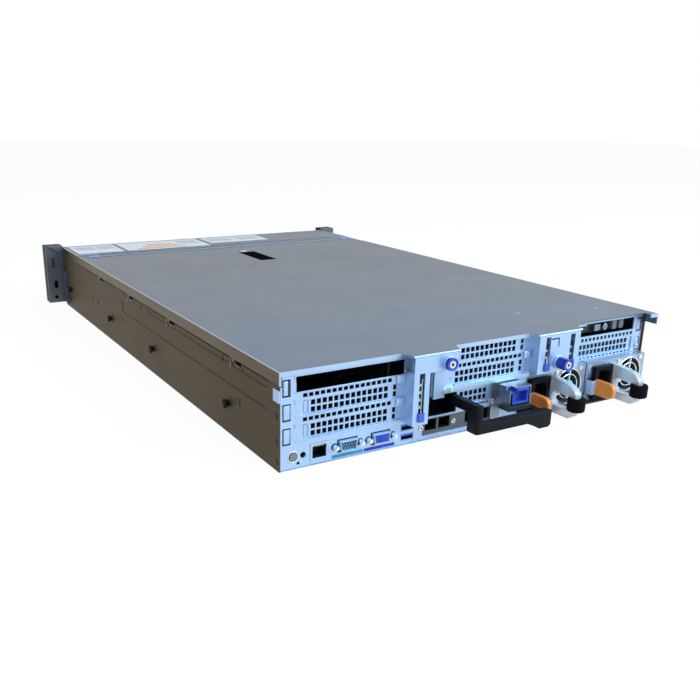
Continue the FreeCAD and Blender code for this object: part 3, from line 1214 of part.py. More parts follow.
def riser_card(x, y0, z0, slots_z, side):
    """A riser board on edge with one card socket for each slot."""
    board = box(x, x + BOARD_T, y0, RISER_END, z0, WALL_TOP - 2.0)
    sockets = []
    for z in slots_z:
        x0, x1 = sorted((x + BOARD_T / 2, x + BOARD_T / 2 + side * 12.0))
        sockets.append(box(x0, x1, RISER_END - SOCKET_L - 4.0, RISER_END - 4.0, z - 3.7, z + 3.7))
    return join([board] + sockets)


def riser_cards():
    left = [LEFT_SLOT_Z - i * SLOT_PITCH for i in range(3)]
    middle = [MIDDLE_SLOT_Z - i * SLOT_PITCH for i in range(3)]
    cards = [riser_card(WINDOW_END + 4.0, RISER_Y, BOARD_TOP, left, -1),
             riser_card(MIDDLE_X[0] - 6.0, NET_BOARD + 4.0, BOARD_TOP, middle, 1),
             riser_card(RIGHT_WINDOW_X[0] - 6.0, RISER_Y, SHELF_TOP, left[:2], 1)]
    return Part.makeCompound(cards)


def rack_ear():
    """One rack ear: the flange that meets the rack post, its leg on the side wall and a gusset."""
    z0, z1 = EAR_Z
    flange = box(-EAR_W, 0, DEPTH, DEPTH + EAR_PLATE, z0, z1)
    leg = box(-EAR_LEG_T, 0, DEPTH - EAR_LEG_L, DEPTH, EAR_LEG_Z[0], EAR_LEG_Z[1])
    wire = Part.makePolygon([Vector(-EAR_W + 4, DEPTH - 3.0, z1), Vector(0, DEPTH - 3.0, z1),
                             Vector(0, DEPTH - 3.0, z1 - 13.0), Vector(-EAR_W + 4, DEPTH - 3.0, z1)])
    gusset = Part.Face(wire).extrude(Vector(0, 3.0, 0))
    cuts = [box(-EAR_WINDOW_X - EAR_WINDOW_W, -EAR_WINDOW_X, DEPTH - 1, DEPTH + EAR_PLATE + 1,
                EAR_WINDOW_Z[0], EAR_WINDOW_Z[1]),
            rod(-EAR_WINDOW_X - 3.6, DEPTH - 1, EAR_SCREW_Z, 2.8, EAR_PLATE + 2, (0, 1, 0))]
    for row in range(EAR_VENTS):
        z = EAR_VENT_Z + row * EAR_VENT_STEP
        cuts.append(box(-EAR_VENT_X[1], -EAR_VENT_X[0], DEPTH - 1, DEPTH + EAR_PLATE + 1, z, z + EAR_VENT_H))
    return join([flange, leg, gusset]).cut(cuts)


def rack_ears():
    return Part.makeCompound([rack_ear(), mirrored(rack_ear())])


def ear_panel():
    """The hollow plastic front of an ear with the pocket of its slam latch."""
    z0, z1 = EAR_Z
    y0 = DEPTH + EAR_PLATE
    y1 = DEPTH + EAR_FRONT
    body = box(-EAR_W, -CLEAR, y0, y1, z0, z1)
    body = round_edges(body, 3.0, lambda c, t: c.y > y1 - 0.1 and (abs(t.z) > 0.9 or abs(t.x) > 0.9))
    hollow = box(-EAR_W + 2.0, -2.0 - CLEAR, y0 - 1, y1 - SLAM_T - PANEL_BACK, z0 + 2.0, z1 - 2.0)
    pocket = box(-EAR_W + 3.0, -2.6, y1 - SLAM_T - 1.0, y1 + 1, SLAM_Z[0] - 0.6, SLAM_Z[1] + 0.6)
    pin_x, pin_y = slam_hinge()
    pin = rod(pin_x, pin_y, SLAM_Z[0] - 2.0, SLAM_PIN_R, SLAM_Z[1] - SLAM_Z[0] + 4.0, (0, 0, 1))
    return join([body.cut([hollow, pocket]), pin])


def slam_hinge():
    return -EAR_W + 6.2, DEPTH + EAR_FRONT - SLAM_T / 2


def slam_latch():
    """The pull lever that frees the ear from the rack post."""
    pin_x, pin_y = slam_hinge()
    y1 = DEPTH + EAR_FRONT
    arm = box(pin_x, -3.4, y1 - SLAM_T, y1, SLAM_Z[0], SLAM_Z[1])
    knuckle = rod(pin_x, pin_y, SLAM_Z[0], SLAM_T / 2, SLAM_Z[1] - SLAM_Z[0], (0, 0, 1))
    grip = box(pin_x + 5.0, -2.0, y1 - 1.2, y1 + 1, SLAM_Z[0] + 8.0, SLAM_Z[1] - 8.0)
    bore = rod(pin_x, pin_y, SLAM_Z[0] - 1, SLAM_PIN_R + CLEAR, SLAM_Z[1] - SLAM_Z[0] + 2, (0, 0, 1))
    return join([arm, knuckle]).cut([grip, bore])


def button_place():
    return -EAR_W / 2, DEPTH + EAR_FRONT


def control_panel():
    x, y = button_place()
    bore = rod(x, y - 9.0, BUTTON_Z, BUTTON_R + CLEAR, 10.0, (0, 1, 0))
    return ear_panel().cut(bore)


def power_button():
    x, y = button_place()
    inner = y - SLAM_T - PANEL_BACK - CLEAR
    cap = rod(x, inner, BUTTON_Z, BUTTON_R, y - inner - CLEAR, (0, 1, 0))
    flange = rod(x, inner - 1.2, BUTTON_Z, BUTTON_R + 1.0, 1.2, (0, 1, 0))
    return join([cap, flange])


def rail_stud(y):
    shank = rod(0, y, STUD_Z, STUD_R, STUD_REACH - STUD_HEAD_T, (-1, 0, 0))
    head = rod(STUD_HEAD_T - STUD_REACH, y, STUD_Z, STUD_HEAD_R, STUD_HEAD_T, (-1, 0, 0))
    return join([shank, head])


def side_fasteners():
    """Rail studs on both side walls and the screws that hold the rear wall's flange."""
    pieces = []
    for y in STUD_Y:
        stud = rail_stud(y)
        pieces += [stud, mirrored(stud)]
    for z in SIDE_SCREW_Z:
        head = rod(0, SIDE_SCREW_Y, z, SIDE_SCREW_R, 0.5, (-1, 0, 0))
        pieces.append(head)
        pieces.append(rod(BODY_W, SIDE_SCREW_Y + RIGHT_WALL_REAR, z, SIDE_SCREW_R, 0.5, (1, 0, 0)))
    for along in HANGER_SCREWS:
        pieces.append(rod(TAB_X[1] + along, -TAB_T, LATCH_BOX_Z[1] + 2.2, 2.2, 1.4, (0, -1, 0)))
    return Part.makeCompound(pieces)


def place(shape):
    """From the working frame to the part's own frame: a half turn about z, then a shift."""
    shape = shape.copy()
    shape.rotate(Vector(0, 0, 0), Vector(0, 0, 1), 180)
    middle = (DEPTH + EAR_FRONT - REACH) / 2
    shape.translate(Vector(BODY_W / 2, middle, 0))
    return shape


def export(name, shape):
    place(shape).exportStep("parts/" + name + ".step")


def supply_nodes(number):
    shift = Vector((number - 1) * SUPPLY_STEP, 0, 0)
    makers = (("supply_case", supply_case), ("supply_inlet", supply_inlet), ("supply_grip", supply_grip),
              ("supply_strap", supply_strap), ("supply_latch", supply_latch), ("supply_rotor", supply_rotor))
    for name, maker in makers:
        shape = maker()
        shape.translate(shift)
        export("%s_%d" % (name, number), shape)


def main():
    os.makedirs("parts", exist_ok=True)
    single = (("chassis_base", chassis_base), ("rear_panel", rear_panel), ("slot_covers", slot_covers),
              ("riser_bracket_1", riser_bracket_1), ("riser_bracket_2", riser_bracket_2),
              ("io_connectors", io_connectors), ("id_button", id_button), ("network_card", network_card),
              ("rear_handle", rear_handle), ("handle_bracket", handle_bracket),
              ("handle_latch", handle_latch), ("top_cover", top_cover),
              ("cover_latch_lever", cover_latch_lever), ("cover_latch_lock", cover_latch_lock),
              ("front_top_cover", front_top_cover), ("drive_cage", drive_cage),
              ("drive_backplane", drive_backplane), ("drive_blanks", drive_blanks), ("fan_cage", fan_cage),
              ("motherboard", motherboard), ("heatsinks", heatsinks), ("memory_modules", memory_modules),
              ("air_shroud", air_shroud), ("riser_cards", riser_cards), ("rack_ears", rack_ears),
              ("control_panel", control_panel), ("power_button", power_button),
              ("slam_latch_right", slam_latch),
              ("side_fasteners", side_fasteners))
    for name, maker in single:
        export(name, maker())
    export("status_panel", mirrored(ear_panel()))
    export("slam_latch_left", mirrored(slam_latch()))
    export("card_latch_1", card_latch(LEFT_LATCH_X, LEFT_LATCH_Z[0], LEFT_LATCH_Z[1], LEFT_POST_REACH))
    for i, x in enumerate(MIDDLE_LATCH_X):
        latch = card_latch(x, MIDDLE_LATCH_Z[0], MIDDLE_LATCH_Z[1], MIDDLE_POST_REACH)
        export("card_latch_%d" % (i + 2), latch)
    export("riser_thumbscrew_1", thumbscrew(SCREW_1, LEFT_POST_REACH, SCREW_1_LEN))
    export("riser_thumbscrew_2", thumbscrew(SCREW_2, MIDDLE_POST_REACH, SCREW_2_LEN))
    for column in range(COLUMNS):
        x0, z0 = bay_place(column, 1)
        export("drive_carrier_%d" % (column + 1), drive_carrier(x0, z0))
        export("carrier_lever_%d" % (column + 1), carrier_lever(x0, z0))
    for i in range(FANS):
        export("fan_rotor_%d" % (i + 1), main_rotor(i))
    for number in (1, 2):
        supply_nodes(number)


main()
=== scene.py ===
# %% [markdown]
# A two-unit rack server, seen from behind and a little to its left. The moving parts and the main
# sheet-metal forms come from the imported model. This script gives them their finishes and adds the
# small things that a construction model leaves out: contacts, inserts, guards, plates and numbers.

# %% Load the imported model
from math import atan2, pi, radians

import bpy
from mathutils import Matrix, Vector


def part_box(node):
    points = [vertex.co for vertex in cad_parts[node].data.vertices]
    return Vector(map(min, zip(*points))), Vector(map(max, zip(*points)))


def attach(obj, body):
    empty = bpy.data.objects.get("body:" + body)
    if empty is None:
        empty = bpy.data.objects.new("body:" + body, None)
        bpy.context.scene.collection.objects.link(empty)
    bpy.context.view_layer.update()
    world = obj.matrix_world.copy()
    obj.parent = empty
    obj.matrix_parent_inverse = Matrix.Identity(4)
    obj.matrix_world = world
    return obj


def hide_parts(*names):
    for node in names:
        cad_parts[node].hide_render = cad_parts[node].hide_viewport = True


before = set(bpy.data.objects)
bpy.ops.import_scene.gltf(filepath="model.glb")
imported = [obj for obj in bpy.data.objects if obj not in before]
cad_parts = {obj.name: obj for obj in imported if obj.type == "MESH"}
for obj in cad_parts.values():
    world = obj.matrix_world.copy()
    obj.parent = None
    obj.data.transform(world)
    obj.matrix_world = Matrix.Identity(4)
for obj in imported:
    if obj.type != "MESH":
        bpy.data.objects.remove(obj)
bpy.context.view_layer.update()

# %% [markdown]
# Everything on a server is placed from its rear wall, so the lesson measures the same way, in
# millimetres: x to the right as seen from behind, y forwards from the rear wall, z up from the
# floor. The chassis node says where that corner is in the frame.

# %% Places in millimetres from the rear corner
MM = 0.001
body_low, body_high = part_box("chassis_base")
BODY_W = (body_high[0] - body_low[0]) / MM


def spot(x, y, z):
    return Vector((body_high[0] - x * MM, body_high[1] - y * MM, body_low[2] + z * MM))


def node_span(name):
    """A node's box in the lesson's millimetres: (x0, x1), (y0, y1), (z0, z1)."""
    low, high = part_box(name)
    return (((body_high[0] - high[0]) / MM, (body_high[0] - low[0]) / MM),
            ((body_high[1] - high[1]) / MM, (body_high[1] - low[1]) / MM),
            ((low[2] - body_low[2]) / MM, (high[2] - body_low[2]) / MM))


print("body width", round(BODY_W, 1), "rear wall of the frame at", round(body_high[1], 4))

# %% [markdown]
# A finish is a small tree of shader nodes. Written as Python expressions it stays readable, so one
# class wraps a socket and gives it the arithmetic that the finishes use, and one method adds any
# other node from its type, its settings and its inputs.

# %% A socket that does arithmetic
class Value:
    def __init__(self, tree, socket):
        self.tree = tree
        self.socket = socket

    def node(self, kind, inputs=(), output=0, **settings):
        made = self.tree.nodes.new(kind)
        for key, setting in settings.items():
            setattr(made, key, setting)
        for place, given in dict(inputs).items():
            if isinstance(given, Value):
                self.tree.links.new(given.socket, made.inputs[place])
            else:
                made.inputs[place].default_value = given
        return Value(self.tree, made.outputs[output])

    def maths(self, operation, a, b):
        return self.node("ShaderNodeMath", {0: a, 1: b}, operation=operation)

    def __add__(self, other):
        return self.maths("ADD", self, other)

    def __radd__(self, other):
        return self.maths("ADD", other, self)

    def __sub__(self, other):
        return self.maths("SUBTRACT", self, other)

    def __rsub__(self, other):
        return self.maths("SUBTRACT", other, self)

    def __mul__(self, other):
        return self.maths("MULTIPLY", self, other)

    def __rmul__(self, other):
        return self.maths("MULTIPLY", other, self)

    def __gt__(self, other):
        return self.maths("GREATER_THAN", self, other)

    def __lt__(self, other):
        return self.maths("LESS_THAN", self, other)


print("sockets add, subtract, multiply and compare")

# %% [markdown]
# Every finish here is one principled shader that reads the piece's own coordinates. Where a real
# part has a second colour, such as a painted tip, a box in millimetres says where it lies, and the
# tint is mixed in there. So one mesh can carry two colours without being cut.

# %% A finish: one principled shader with its coordinates
def between(axis, low, high):
    """1 where the coordinate lies between two values in metres, and 0 elsewhere."""
    return (axis > min(low, high)) * (axis < max(low, high))


class Finish:
    def __init__(self, name, color, roughness, metallic=0.0, **sockets):
        self.material = bpy.data.materials.new(name)
        self.material.use_nodes = True
        self.material.diffuse_color = (*color, 1.0)
        tree = self.material.node_tree
        self.shader = tree.nodes["Principled BSDF"]
        self.tree = tree
        self.start = Value(tree, None)
        self.put("Base Color", (*color, 1.0))
        self.put("Roughness", roughness)
        self.put("Metallic", metallic)
        for key, given in sockets.items():
            self.put(key.replace("_", " "), given)
        coords = tree.nodes.new("ShaderNodeTexCoord")
        self.coords = Value(tree, coords.outputs["Object"])
        parts = tree.nodes.new("ShaderNodeSeparateXYZ")
        tree.links.new(self.coords.socket, parts.inputs[0])
        self.x, self.y, self.z = (Value(tree, parts.outputs[i]) for i in range(3))

    def put(self, socket, given):
        if socket == "Base Color":
            self.base = given
        if isinstance(given, Value):
            self.tree.links.new(given.socket, self.shader.inputs[socket])
        else:
            self.shader.inputs[socket].default_value = given

    def node(self, kind, inputs=(), output=0, **settings):
        return self.start.node(kind, inputs, output, **settings)

    def noise(self, scale, detail=3.0, stretch=(1.0, 1.0, 1.0)):
        where = self.node("ShaderNodeMapping", {"Vector": self.coords, "Scale": stretch})
        return self.node("ShaderNodeTexNoise", {"Vector": where, "Scale": scale, "Detail": detail})

    def blend(self, factor, a, b):
        """A colour between a and b."""
        return self.node("ShaderNodeMix", {0: factor, 6: a, 7: b}, 2, data_type="RGBA")

    def bump(self, height, strength, distance):
        self.put("Normal", self.node("ShaderNodeBump", {"Strength": strength, "Distance": distance,
                                                        "Height": height}))

    def tint(self, zone, color):
        """The finish's own colour, and another one where zone is 1."""
        self.put("Base Color", self.blend(zone, self.base, (*color, 1.0)))

    def zone(self, x, y, z):
        """1 inside a box given in the lesson's millimetres."""
        a = spot(x[0], y[0], z[0])
        b = spot(x[1], y[1], z[1])
        return between(self.x, a.x, b.x) * between(self.y, a.y, b.y) * between(self.z, a.z, b.z)


print("ready to mix finishes")

# %% [markdown]
# The cover and the rear wall are plated steel sheet. Rolled sheet has faint streaks along the
# rolling direction and cloudy patches in its gloss, so a stretched noise moves the roughness a
# little and a broad one moves the colour. The cover mirrors the cool light behind the server, and
# this reflection is painted into its colour, which turns a little bluer towards the rear wall.
# The walls are lit and shaded copies of one steel: the rear wall's pale blue is a painted
# reflection, and the side walls' dark brown is painted shade.

# %% Steel finishes, with painted reflection and shade
ROLLED = (60.0, 1.5, 60.0)
EVEN = (8.0, 8.0, 8.0)
FINE = (4.0, 4.0, 4.0)
MOTTLE = 0.06
STREAK_GLOSS = 0.10
CLOUD_GLOSS = 0.12


def steel(name, color, roughness, grain=EVEN, metallic=0.85):
    finish = Finish(name, color, roughness, metallic)
    streaks = finish.noise(9.0, 4.0, grain)
    clouds = finish.noise(14.0, 3.0)
    smooth = roughness - (STREAK_GLOSS + CLOUD_GLOSS) / 2
    finish.put("Roughness", clouds * CLOUD_GLOSS + (streaks * STREAK_GLOSS + smooth))
    dark = tuple(c * (1 - MOTTLE) for c in color) + (1.0,)
    light = tuple(min(1.0, c * (1 + MOTTLE)) for c in color) + (1.0,)
    finish.put("Base Color", finish.blend(clouds, dark, light))
    return finish


# Painted shade: the side walls are the same steel, coloured dark brown for the shade they lie in.
SIDE_PAINTED_SHADE = (0.105, 0.076, 0.043)
SIDE_METAL = 0.4
# Painted reflection: the rear wall and other rear-facing steel are coloured pale blue for the cool
# light they mirror.
PAINTED_SKY_REFLECTION = (0.44, 0.60, 0.82)
REAR_PAINTED_REFLECTION = (0.150, 0.200, 0.275)
PAINTED_REFLECTION_START_Y = 430.0

cover_steel = steel("cover_steel", (0.115, 0.143, 0.180), 0.40, ROLLED, 0.95)
cover_steel.put("Specular IOR Level", 0.1)
# Painted reflection: the cover's colour ramps to a bluer tone over its rear part.
painted_reflection_ramp = cover_steel.node("ShaderNodeMapRange", {"Value": cover_steel.y,
                                                    "From Min": spot(0, PAINTED_REFLECTION_START_Y, 0).y,
                                                    "From Max": spot(0, 0, 0).y})
cover_steel.tint(painted_reflection_ramp, REAR_PAINTED_REFLECTION)
side_steel = steel("side_steel", SIDE_PAINTED_SHADE, 0.50, ROLLED, SIDE_METAL)
side_steel.put("Specular IOR Level", 0.05)
wall_steel = steel("wall_steel", PAINTED_SKY_REFLECTION, 0.36, metallic=0.6)
bracket_steel = steel("bracket_steel", PAINTED_SKY_REFLECTION, 0.34, metallic=0.65)
ear_steel = steel("ear_steel", (0.11, 0.135, 0.16), 0.42, metallic=0.6)
box_steel = steel("box_steel", (0.26, 0.30, 0.36), 0.24, metallic=0.9)
supply_steel = steel("supply_steel", (0.38, 0.45, 0.56), 0.36, metallic=0.7)
screw_steel = steel("screw_steel", (0.80, 0.78, 0.72), 0.30, FINE)
chrome = Finish("chrome", (0.85, 0.86, 0.88), 0.14, 1.0)
print("steels", [m.name for m in bpy.data.materials if "steel" in m.name])

# %% [markdown]
# The touch parts are moulded plastic. A fine grain in the bump takes away the toy-like smoothness.
# Blue means lift here, orange means pull to swap while running. Black parts get a low specular
# level, because a pale room in their gloss would turn them grey.

# %% Plastic, board and strap finishes
GRAIN_SCALE = 2200.0
GRAIN_STRENGTH = 0.12
GRAIN_DEPTH = 0.1 * MM
NAP_SCALE = 1800.0
NAP_STRENGTH = 0.6
NAP_DEPTH = 0.3 * MM
TRACK_SCALE = 700.0


def plastic(name, color, roughness, **sockets):
    finish = Finish(name, color, roughness, 0.0, **sockets)
    finish.bump(finish.noise(GRAIN_SCALE, 2.0), GRAIN_STRENGTH, GRAIN_DEPTH)
    return finish


black_plastic = plastic("black_plastic", (0.005, 0.006, 0.008), 0.52, Specular_IOR_Level=0.12)
blue_plastic = plastic("blue_plastic", (0.030, 0.075, 0.52), 0.38, Specular_IOR_Level=0.3)
lever_black = plastic("lever_black", (0.006, 0.007, 0.009), 0.7, Specular_IOR_Level=0.0)
grey_plastic = plastic("grey_plastic", (0.20, 0.21, 0.22), 0.45)
teal_plastic = plastic("teal_plastic", (0.010, 0.13, 0.19), 0.40)
cream_plastic = plastic("cream_plastic", (0.72, 0.68, 0.58), 0.45)
clear_grey = Finish("clear_grey", (0.86, 0.90, 0.95), 0.26, Transmission_Weight=0.45, IOR=1.46)
board_green = Finish("board_green", (0.02, 0.14, 0.08), 0.35)
tracks = board_green.noise(TRACK_SCALE, 4.0)
board_green.put("Base Color", board_green.blend(tracks, (0.004, 0.03, 0.018, 1.0),
                                                (0.02, 0.08, 0.05, 1.0)))
fin_metal = Finish("fin_metal", (0.72, 0.73, 0.75), 0.32, 1.0)
strap_fabric = Finish("strap_fabric", (0.004, 0.004, 0.005), 0.95, Specular_IOR_Level=0.1)
strap_fabric.bump(strap_fabric.noise(NAP_SCALE, 2.0), NAP_STRENGTH, NAP_DEPTH)
gold = Finish("gold", (0.95, 0.72, 0.32), 0.25, 1.0)
print("finishes", len(bpy.data.materials))

# %% [markdown]
# A card latch is a black rail that ends in a blue tab for the finger, and pale rungs show through
# the bracket's slit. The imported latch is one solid, so the colours are zones of one finish, placed
# from the latch's own box.

# %% Card latch finishes
RAIL_BLACK = (0.012, 0.014, 0.018)
RUNG_CREAM = (0.62, 0.58, 0.48)
TAB_BLUE = (0.05, 0.12, 0.55)
TAB_REACH = 3.0
RUNG_DEPTH = (4.4, 5.4)
RUNG_FOOT = 9.0
PAST = 1.0  # a zone reaches this far past a surface, so that the surface lies inside it
HAIR = 0.1  # or only this far, where another zone begins close by


def latch_finish(number):
    """Black rail with pale rungs, and a blue tab in front of the bracket's face."""
    x, y, z = node_span("card_latch_%d" % number)
    finish = plastic("card_latch_%d_plastic" % number, RAIL_BLACK, 0.4)
    rungs = finish.zone(x, [y[0] + depth for depth in RUNG_DEPTH], (z[0] + RUNG_FOOT, z[1]))
    finish.tint(rungs, RUNG_CREAM)
    finish.tint(finish.zone(x, (y[0] - PAST, y[0] + TAB_REACH), z), TAB_BLUE)
    return finish


latch_finishes = [latch_finish(n) for n in (1, 2, 3)]
print("card latch finishes", len(latch_finishes))

# %% [markdown]
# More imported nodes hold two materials. A supply's release is a steel strip with an orange thumb
# piece, the sockets are metal only at their mouths, and the rail studs outside the walls are
# blackened where the small screws at the rear are bright.

# %% Releases, sockets and fasteners
SHEET = 1.2
ACROSS = (0, BODY_W)
LOWER = (0, 60)
STUD_BLACK = (0.02, 0.018, 0.016)
THUMB_Y = (-60.0, -1.5)
MOUTH_Y = (-10.0, 0.5)
CARD_MOUTH_Y = (-10.0, SHEET + 1.05)

# The release's steel strip and the sockets' metal mouths take the same painted reflection.
release_orange = plastic("release_orange", PAINTED_SKY_REFLECTION, 0.42)
release_orange.tint(release_orange.zone(ACROSS, THUMB_Y, LOWER), (0.86, 0.27, 0.05))
port_black = plastic("port_black", (0.012, 0.012, 0.014), 0.4)
port_black.tint(port_black.zone(ACROSS, MOUTH_Y, LOWER), PAINTED_SKY_REFLECTION)
card_black = plastic("card_black", (0.010, 0.010, 0.012), 0.4)
card_black.tint(card_black.zone(ACROSS, CARD_MOUTH_Y, LOWER), (0.10, 0.11, 0.12))
fastener_steel = Finish("fastener_steel", (0.70, 0.70, 0.68), 0.32, 0.8)
half_body = BODY_W / 2 * MM
outside = (fastener_steel.x > half_body) + (fastener_steel.x < -half_body)
fastener_steel.tint(outside, STUD_BLACK)
print("two-colour finishes", [f.material.name for f in (release_orange, port_black, card_black,
                                                        fastener_steel)])

# %% [markdown]
# The cover is folded down at the rear and along both sides. The folds face another way than the
# lid, so they mirror other things, and this is painted into their colour: the rear fold gets a
# bright painted reflection, the side folds get the same painted shade as the walls under them, and
# the lid's edge along the sides gets a lighter painted highlight. Over the two riser brackets the
# lid reaches further out, so its bright rear edge is five strips.

# %% Painted reflection, shade and highlight on the cover's folds
LID_EDGE = 0.7
SIDE_FOLD = 0.9
FLANGE_FOOT = 60.0
COVER_Y = (0.0, 700.0)
FAR_BEHIND = -20.0
RIM_Y = -0.7
POST_CLEAR = 6.0
FOLD_PAINTED_REFLECTION = (0.44, 0.60, 0.80)
RIM_PAINTED_HIGHLIGHT = (0.42, 0.48, 0.55)
fold_top = node_span("top_cover")[2][1]
flange_z = (FLANGE_FOOT, fold_top - LID_EDGE)
lid_z = (fold_top - LID_EDGE, fold_top + HAIR)

post_1_x, post_1_y = node_span("riser_bracket_1")[:2]
post_2_x, post_2_y = node_span("riser_bracket_2")[:2]
rear_strips = (
    (-PAST, post_1_x[0] - POST_CLEAR, RIM_Y),
    (post_1_x[1] + POST_CLEAR, post_2_x[0] - POST_CLEAR, RIM_Y),
    (post_2_x[1] + POST_CLEAR, BODY_W + PAST, RIM_Y),
    (post_1_x[0] - 2.0, post_1_x[1] + 2.0, post_1_y[0] + 0.5),
    (post_2_x[0] - 2.0, post_2_x[1] + 3.0, post_2_y[0] + 0.5),
)
folds = cover_steel.zone((-PAST, BODY_W + PAST), (FAR_BEHIND, -HAIR), flange_z)
for x0, x1, y in rear_strips:
    folds = folds + cover_steel.zone((x0, x1), (FAR_BEHIND, y), lid_z)
cover_steel.tint(folds, FOLD_PAINTED_REFLECTION)
# Painted shade on the side folds and a painted highlight on the lid's side edge.
for side in ((-PAST, SIDE_FOLD), (BODY_W - SIDE_FOLD, BODY_W + PAST)):
    cover_steel.tint(cover_steel.zone(side, COVER_Y, flange_z), SIDE_PAINTED_SHADE)
    cover_steel.tint(cover_steel.zone(side, COVER_Y, lid_z), RIM_PAINTED_HIGHLIGHT)
print("strips along the rear fold", len(rear_strips))

# %% [markdown]
# Between the cover's side fold and the wall there is a gap of shade, which only the hooks bridge.
# A real gap of a few tenths of a millimetre would hardly show, so the wall's own finish is dark
# along that line, and not metal there, because black metal still mirrors at a flat angle.

# %% The shadow line under the cover
SEAM_DROP = 11.5
SEAM_H = 1.0
SEAM_Y = (16.0, 590.0)
HOOK_Y = (82.5, 240.0, 370.0, 488.0)
HOOK_TO_REAR = 17.0
HOOK_TO_FRONT = 10.0
SHADE = (0.002, 0.002, 0.002)

seam_z = fold_top - SEAM_DROP
seam_starts = SEAM_Y[:1] + tuple(y + HOOK_TO_FRONT for y in HOOK_Y)
seam_ends = tuple(y - HOOK_TO_REAR for y in HOOK_Y) + SEAM_Y[1:]
gap = None
for y0, y1 in zip(seam_starts, seam_ends):
    for x in ((-PAST, SHEET), (BODY_W - SHEET, BODY_W + PAST)):
        here = side_steel.zone(x, (y0, y1), (seam_z - SEAM_H, seam_z + HAIR))
        gap = here if gap is None else gap + here
side_steel.tint(gap, SHADE)
side_steel.put("Metallic", (1.0 - gap) * SIDE_METAL)
print("stretches of shade on each wall", len(seam_starts))

# %% [markdown]
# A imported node's mesh takes one material. The table says which finish each part of the real server
# has, so that a change of finish is one line.

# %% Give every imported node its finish
def numbered(name, count):
    return tuple("%s_%d" % (name, i + 1) for i in range(count))


NODE_FINISH = {
    cover_steel: ("top_cover", "front_top_cover"),
    side_steel: ("chassis_base",),
    wall_steel: ("rear_panel", "slot_covers"),
    ear_steel: ("rack_ears",),
    port_black: ("io_connectors",),
    card_black: ("network_card",),
    fastener_steel: ("side_fasteners",),
    bracket_steel: numbered("riser_bracket", 2),
    box_steel: ("handle_bracket",),
    screw_steel: ("cover_latch_lock",),
    supply_steel: ("drive_cage",) + numbered("supply_case", 2),
    lever_black: ("cover_latch_lever",),
    black_plastic: ("status_panel", "control_panel", "rear_handle", "fan_cage", "air_shroud",
                    "slam_latch_left", "slam_latch_right") + numbered("supply_inlet", 2)
                   + numbered("supply_rotor", 2) + numbered("fan_rotor", 4)
                   + numbered("carrier_lever", 4),
    latch_finishes[0]: ("card_latch_1",),
    latch_finishes[1]: ("card_latch_2",),
    latch_finishes[2]: ("card_latch_3",),
    release_orange: numbered("supply_latch", 2),
    blue_plastic: ("handle_latch",) + numbered("riser_thumbscrew", 2),
    grey_plastic: ("power_button", "id_button", "drive_blanks") + numbered("drive_carrier", 4),
    clear_grey: numbered("supply_grip", 2),
    board_green: ("drive_backplane", "motherboard", "memory_modules", "riser_cards"),
    fin_metal: ("heatsinks",),
    strap_fabric: numbered("supply_strap", 2),
}
painted = 0
for finish, names in NODE_FINISH.items():
    for name in names:
        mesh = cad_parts[name].data
        mesh.materials.clear()
        mesh.materials.append(finish.material)
        painted += 1
print("nodes with a finish", painted, "of", len(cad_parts))

# %% [markdown]
# The small pieces are modelled as by hand, and edit mode works on what is selected. A new piece is
# selected all over, so each step first deselects everything and then picks faces in code, by where
# they lie and which way they look.

# %% Pick faces as by hand
FACING = 0.9


def alone(piece):
    bpy.ops.object.select_all(action="DESELECT")
    piece.select_set(True)
    bpy.context.view_layer.objects.active = piece


def pick_faces(piece, test):
    """Goes to edit mode with the faces selected whose centre and normal pass the test."""
    alone(piece)
    bpy.ops.object.mode_set(mode="EDIT")
    bpy.ops.mesh.select_mode(type="FACE")
    bpy.ops.mesh.select_all(action="DESELECT")
    bpy.ops.object.mode_set(mode="OBJECT")
    for face in piece.data.polygons:
        face.select = test(face.center, face.normal)
    bpy.ops.object.mode_set(mode="EDIT")


def done():
    bpy.ops.object.mode_set(mode="OBJECT")


print("a face looks along an axis when its normal is within", FACING)

# %% [markdown]
# Nearly every small part of a server starts as a block, a round bar or a ring of wire. A sharp
# edge never catches light, so each gets its edges or rims rounded in the same step.

# %% Blocks, bars and rings
TURN = {"x": (0, pi / 2, 0), "y": (pi / 2, 0, 0), "z": (0, 0, 0)}


def round_edges(width, segments=2):
    bpy.ops.mesh.bevel(offset=width * MM, segments=segments, affect="EDGES")
    done()


def block(x, y, z, bevel=0.25):
    """A box between pairs of lesson millimetres with its edges rounded."""
    low = spot(x[0], y[0], z[0])
    high = spot(x[1], y[1], z[1])
    bpy.ops.object.select_all(action="DESELECT")
    bpy.ops.mesh.primitive_cube_add(size=1.0, location=(low + high) / 2)
    made = bpy.context.object
    made.scale = [abs(b - a) for a, b in zip(low, high)]
    bpy.ops.object.transform_apply(location=False, rotation=False, scale=True)
    if bevel:
        pick_faces(made, lambda c, n: True)
        round_edges(bevel)
    return made


def rod(centre, radius, length, axis, sides=32, rim=0.2, segments=2):
    """A round bar along an axis of the frame, with both rims rounded."""
    bpy.ops.object.select_all(action="DESELECT")
    bpy.ops.mesh.primitive_cylinder_add(vertices=sides, radius=radius * MM, depth=length * MM,
                                        location=centre, rotation=TURN[axis])
    made = bpy.context.object
    bpy.ops.object.transform_apply(location=False, rotation=True, scale=False)
    if rim:
        pick_faces(made, lambda c, n: abs(getattr(n, axis)) > FACING)
        round_edges(rim, segments)
    return made


def bar(x, z, radius, y0, y1, sides=32, rim=0.2):
    """A round bar that runs forwards from y0 to y1."""
    return rod(spot(x, (y0 + y1) / 2, z), radius, abs(y1 - y0), "y", sides, rim)


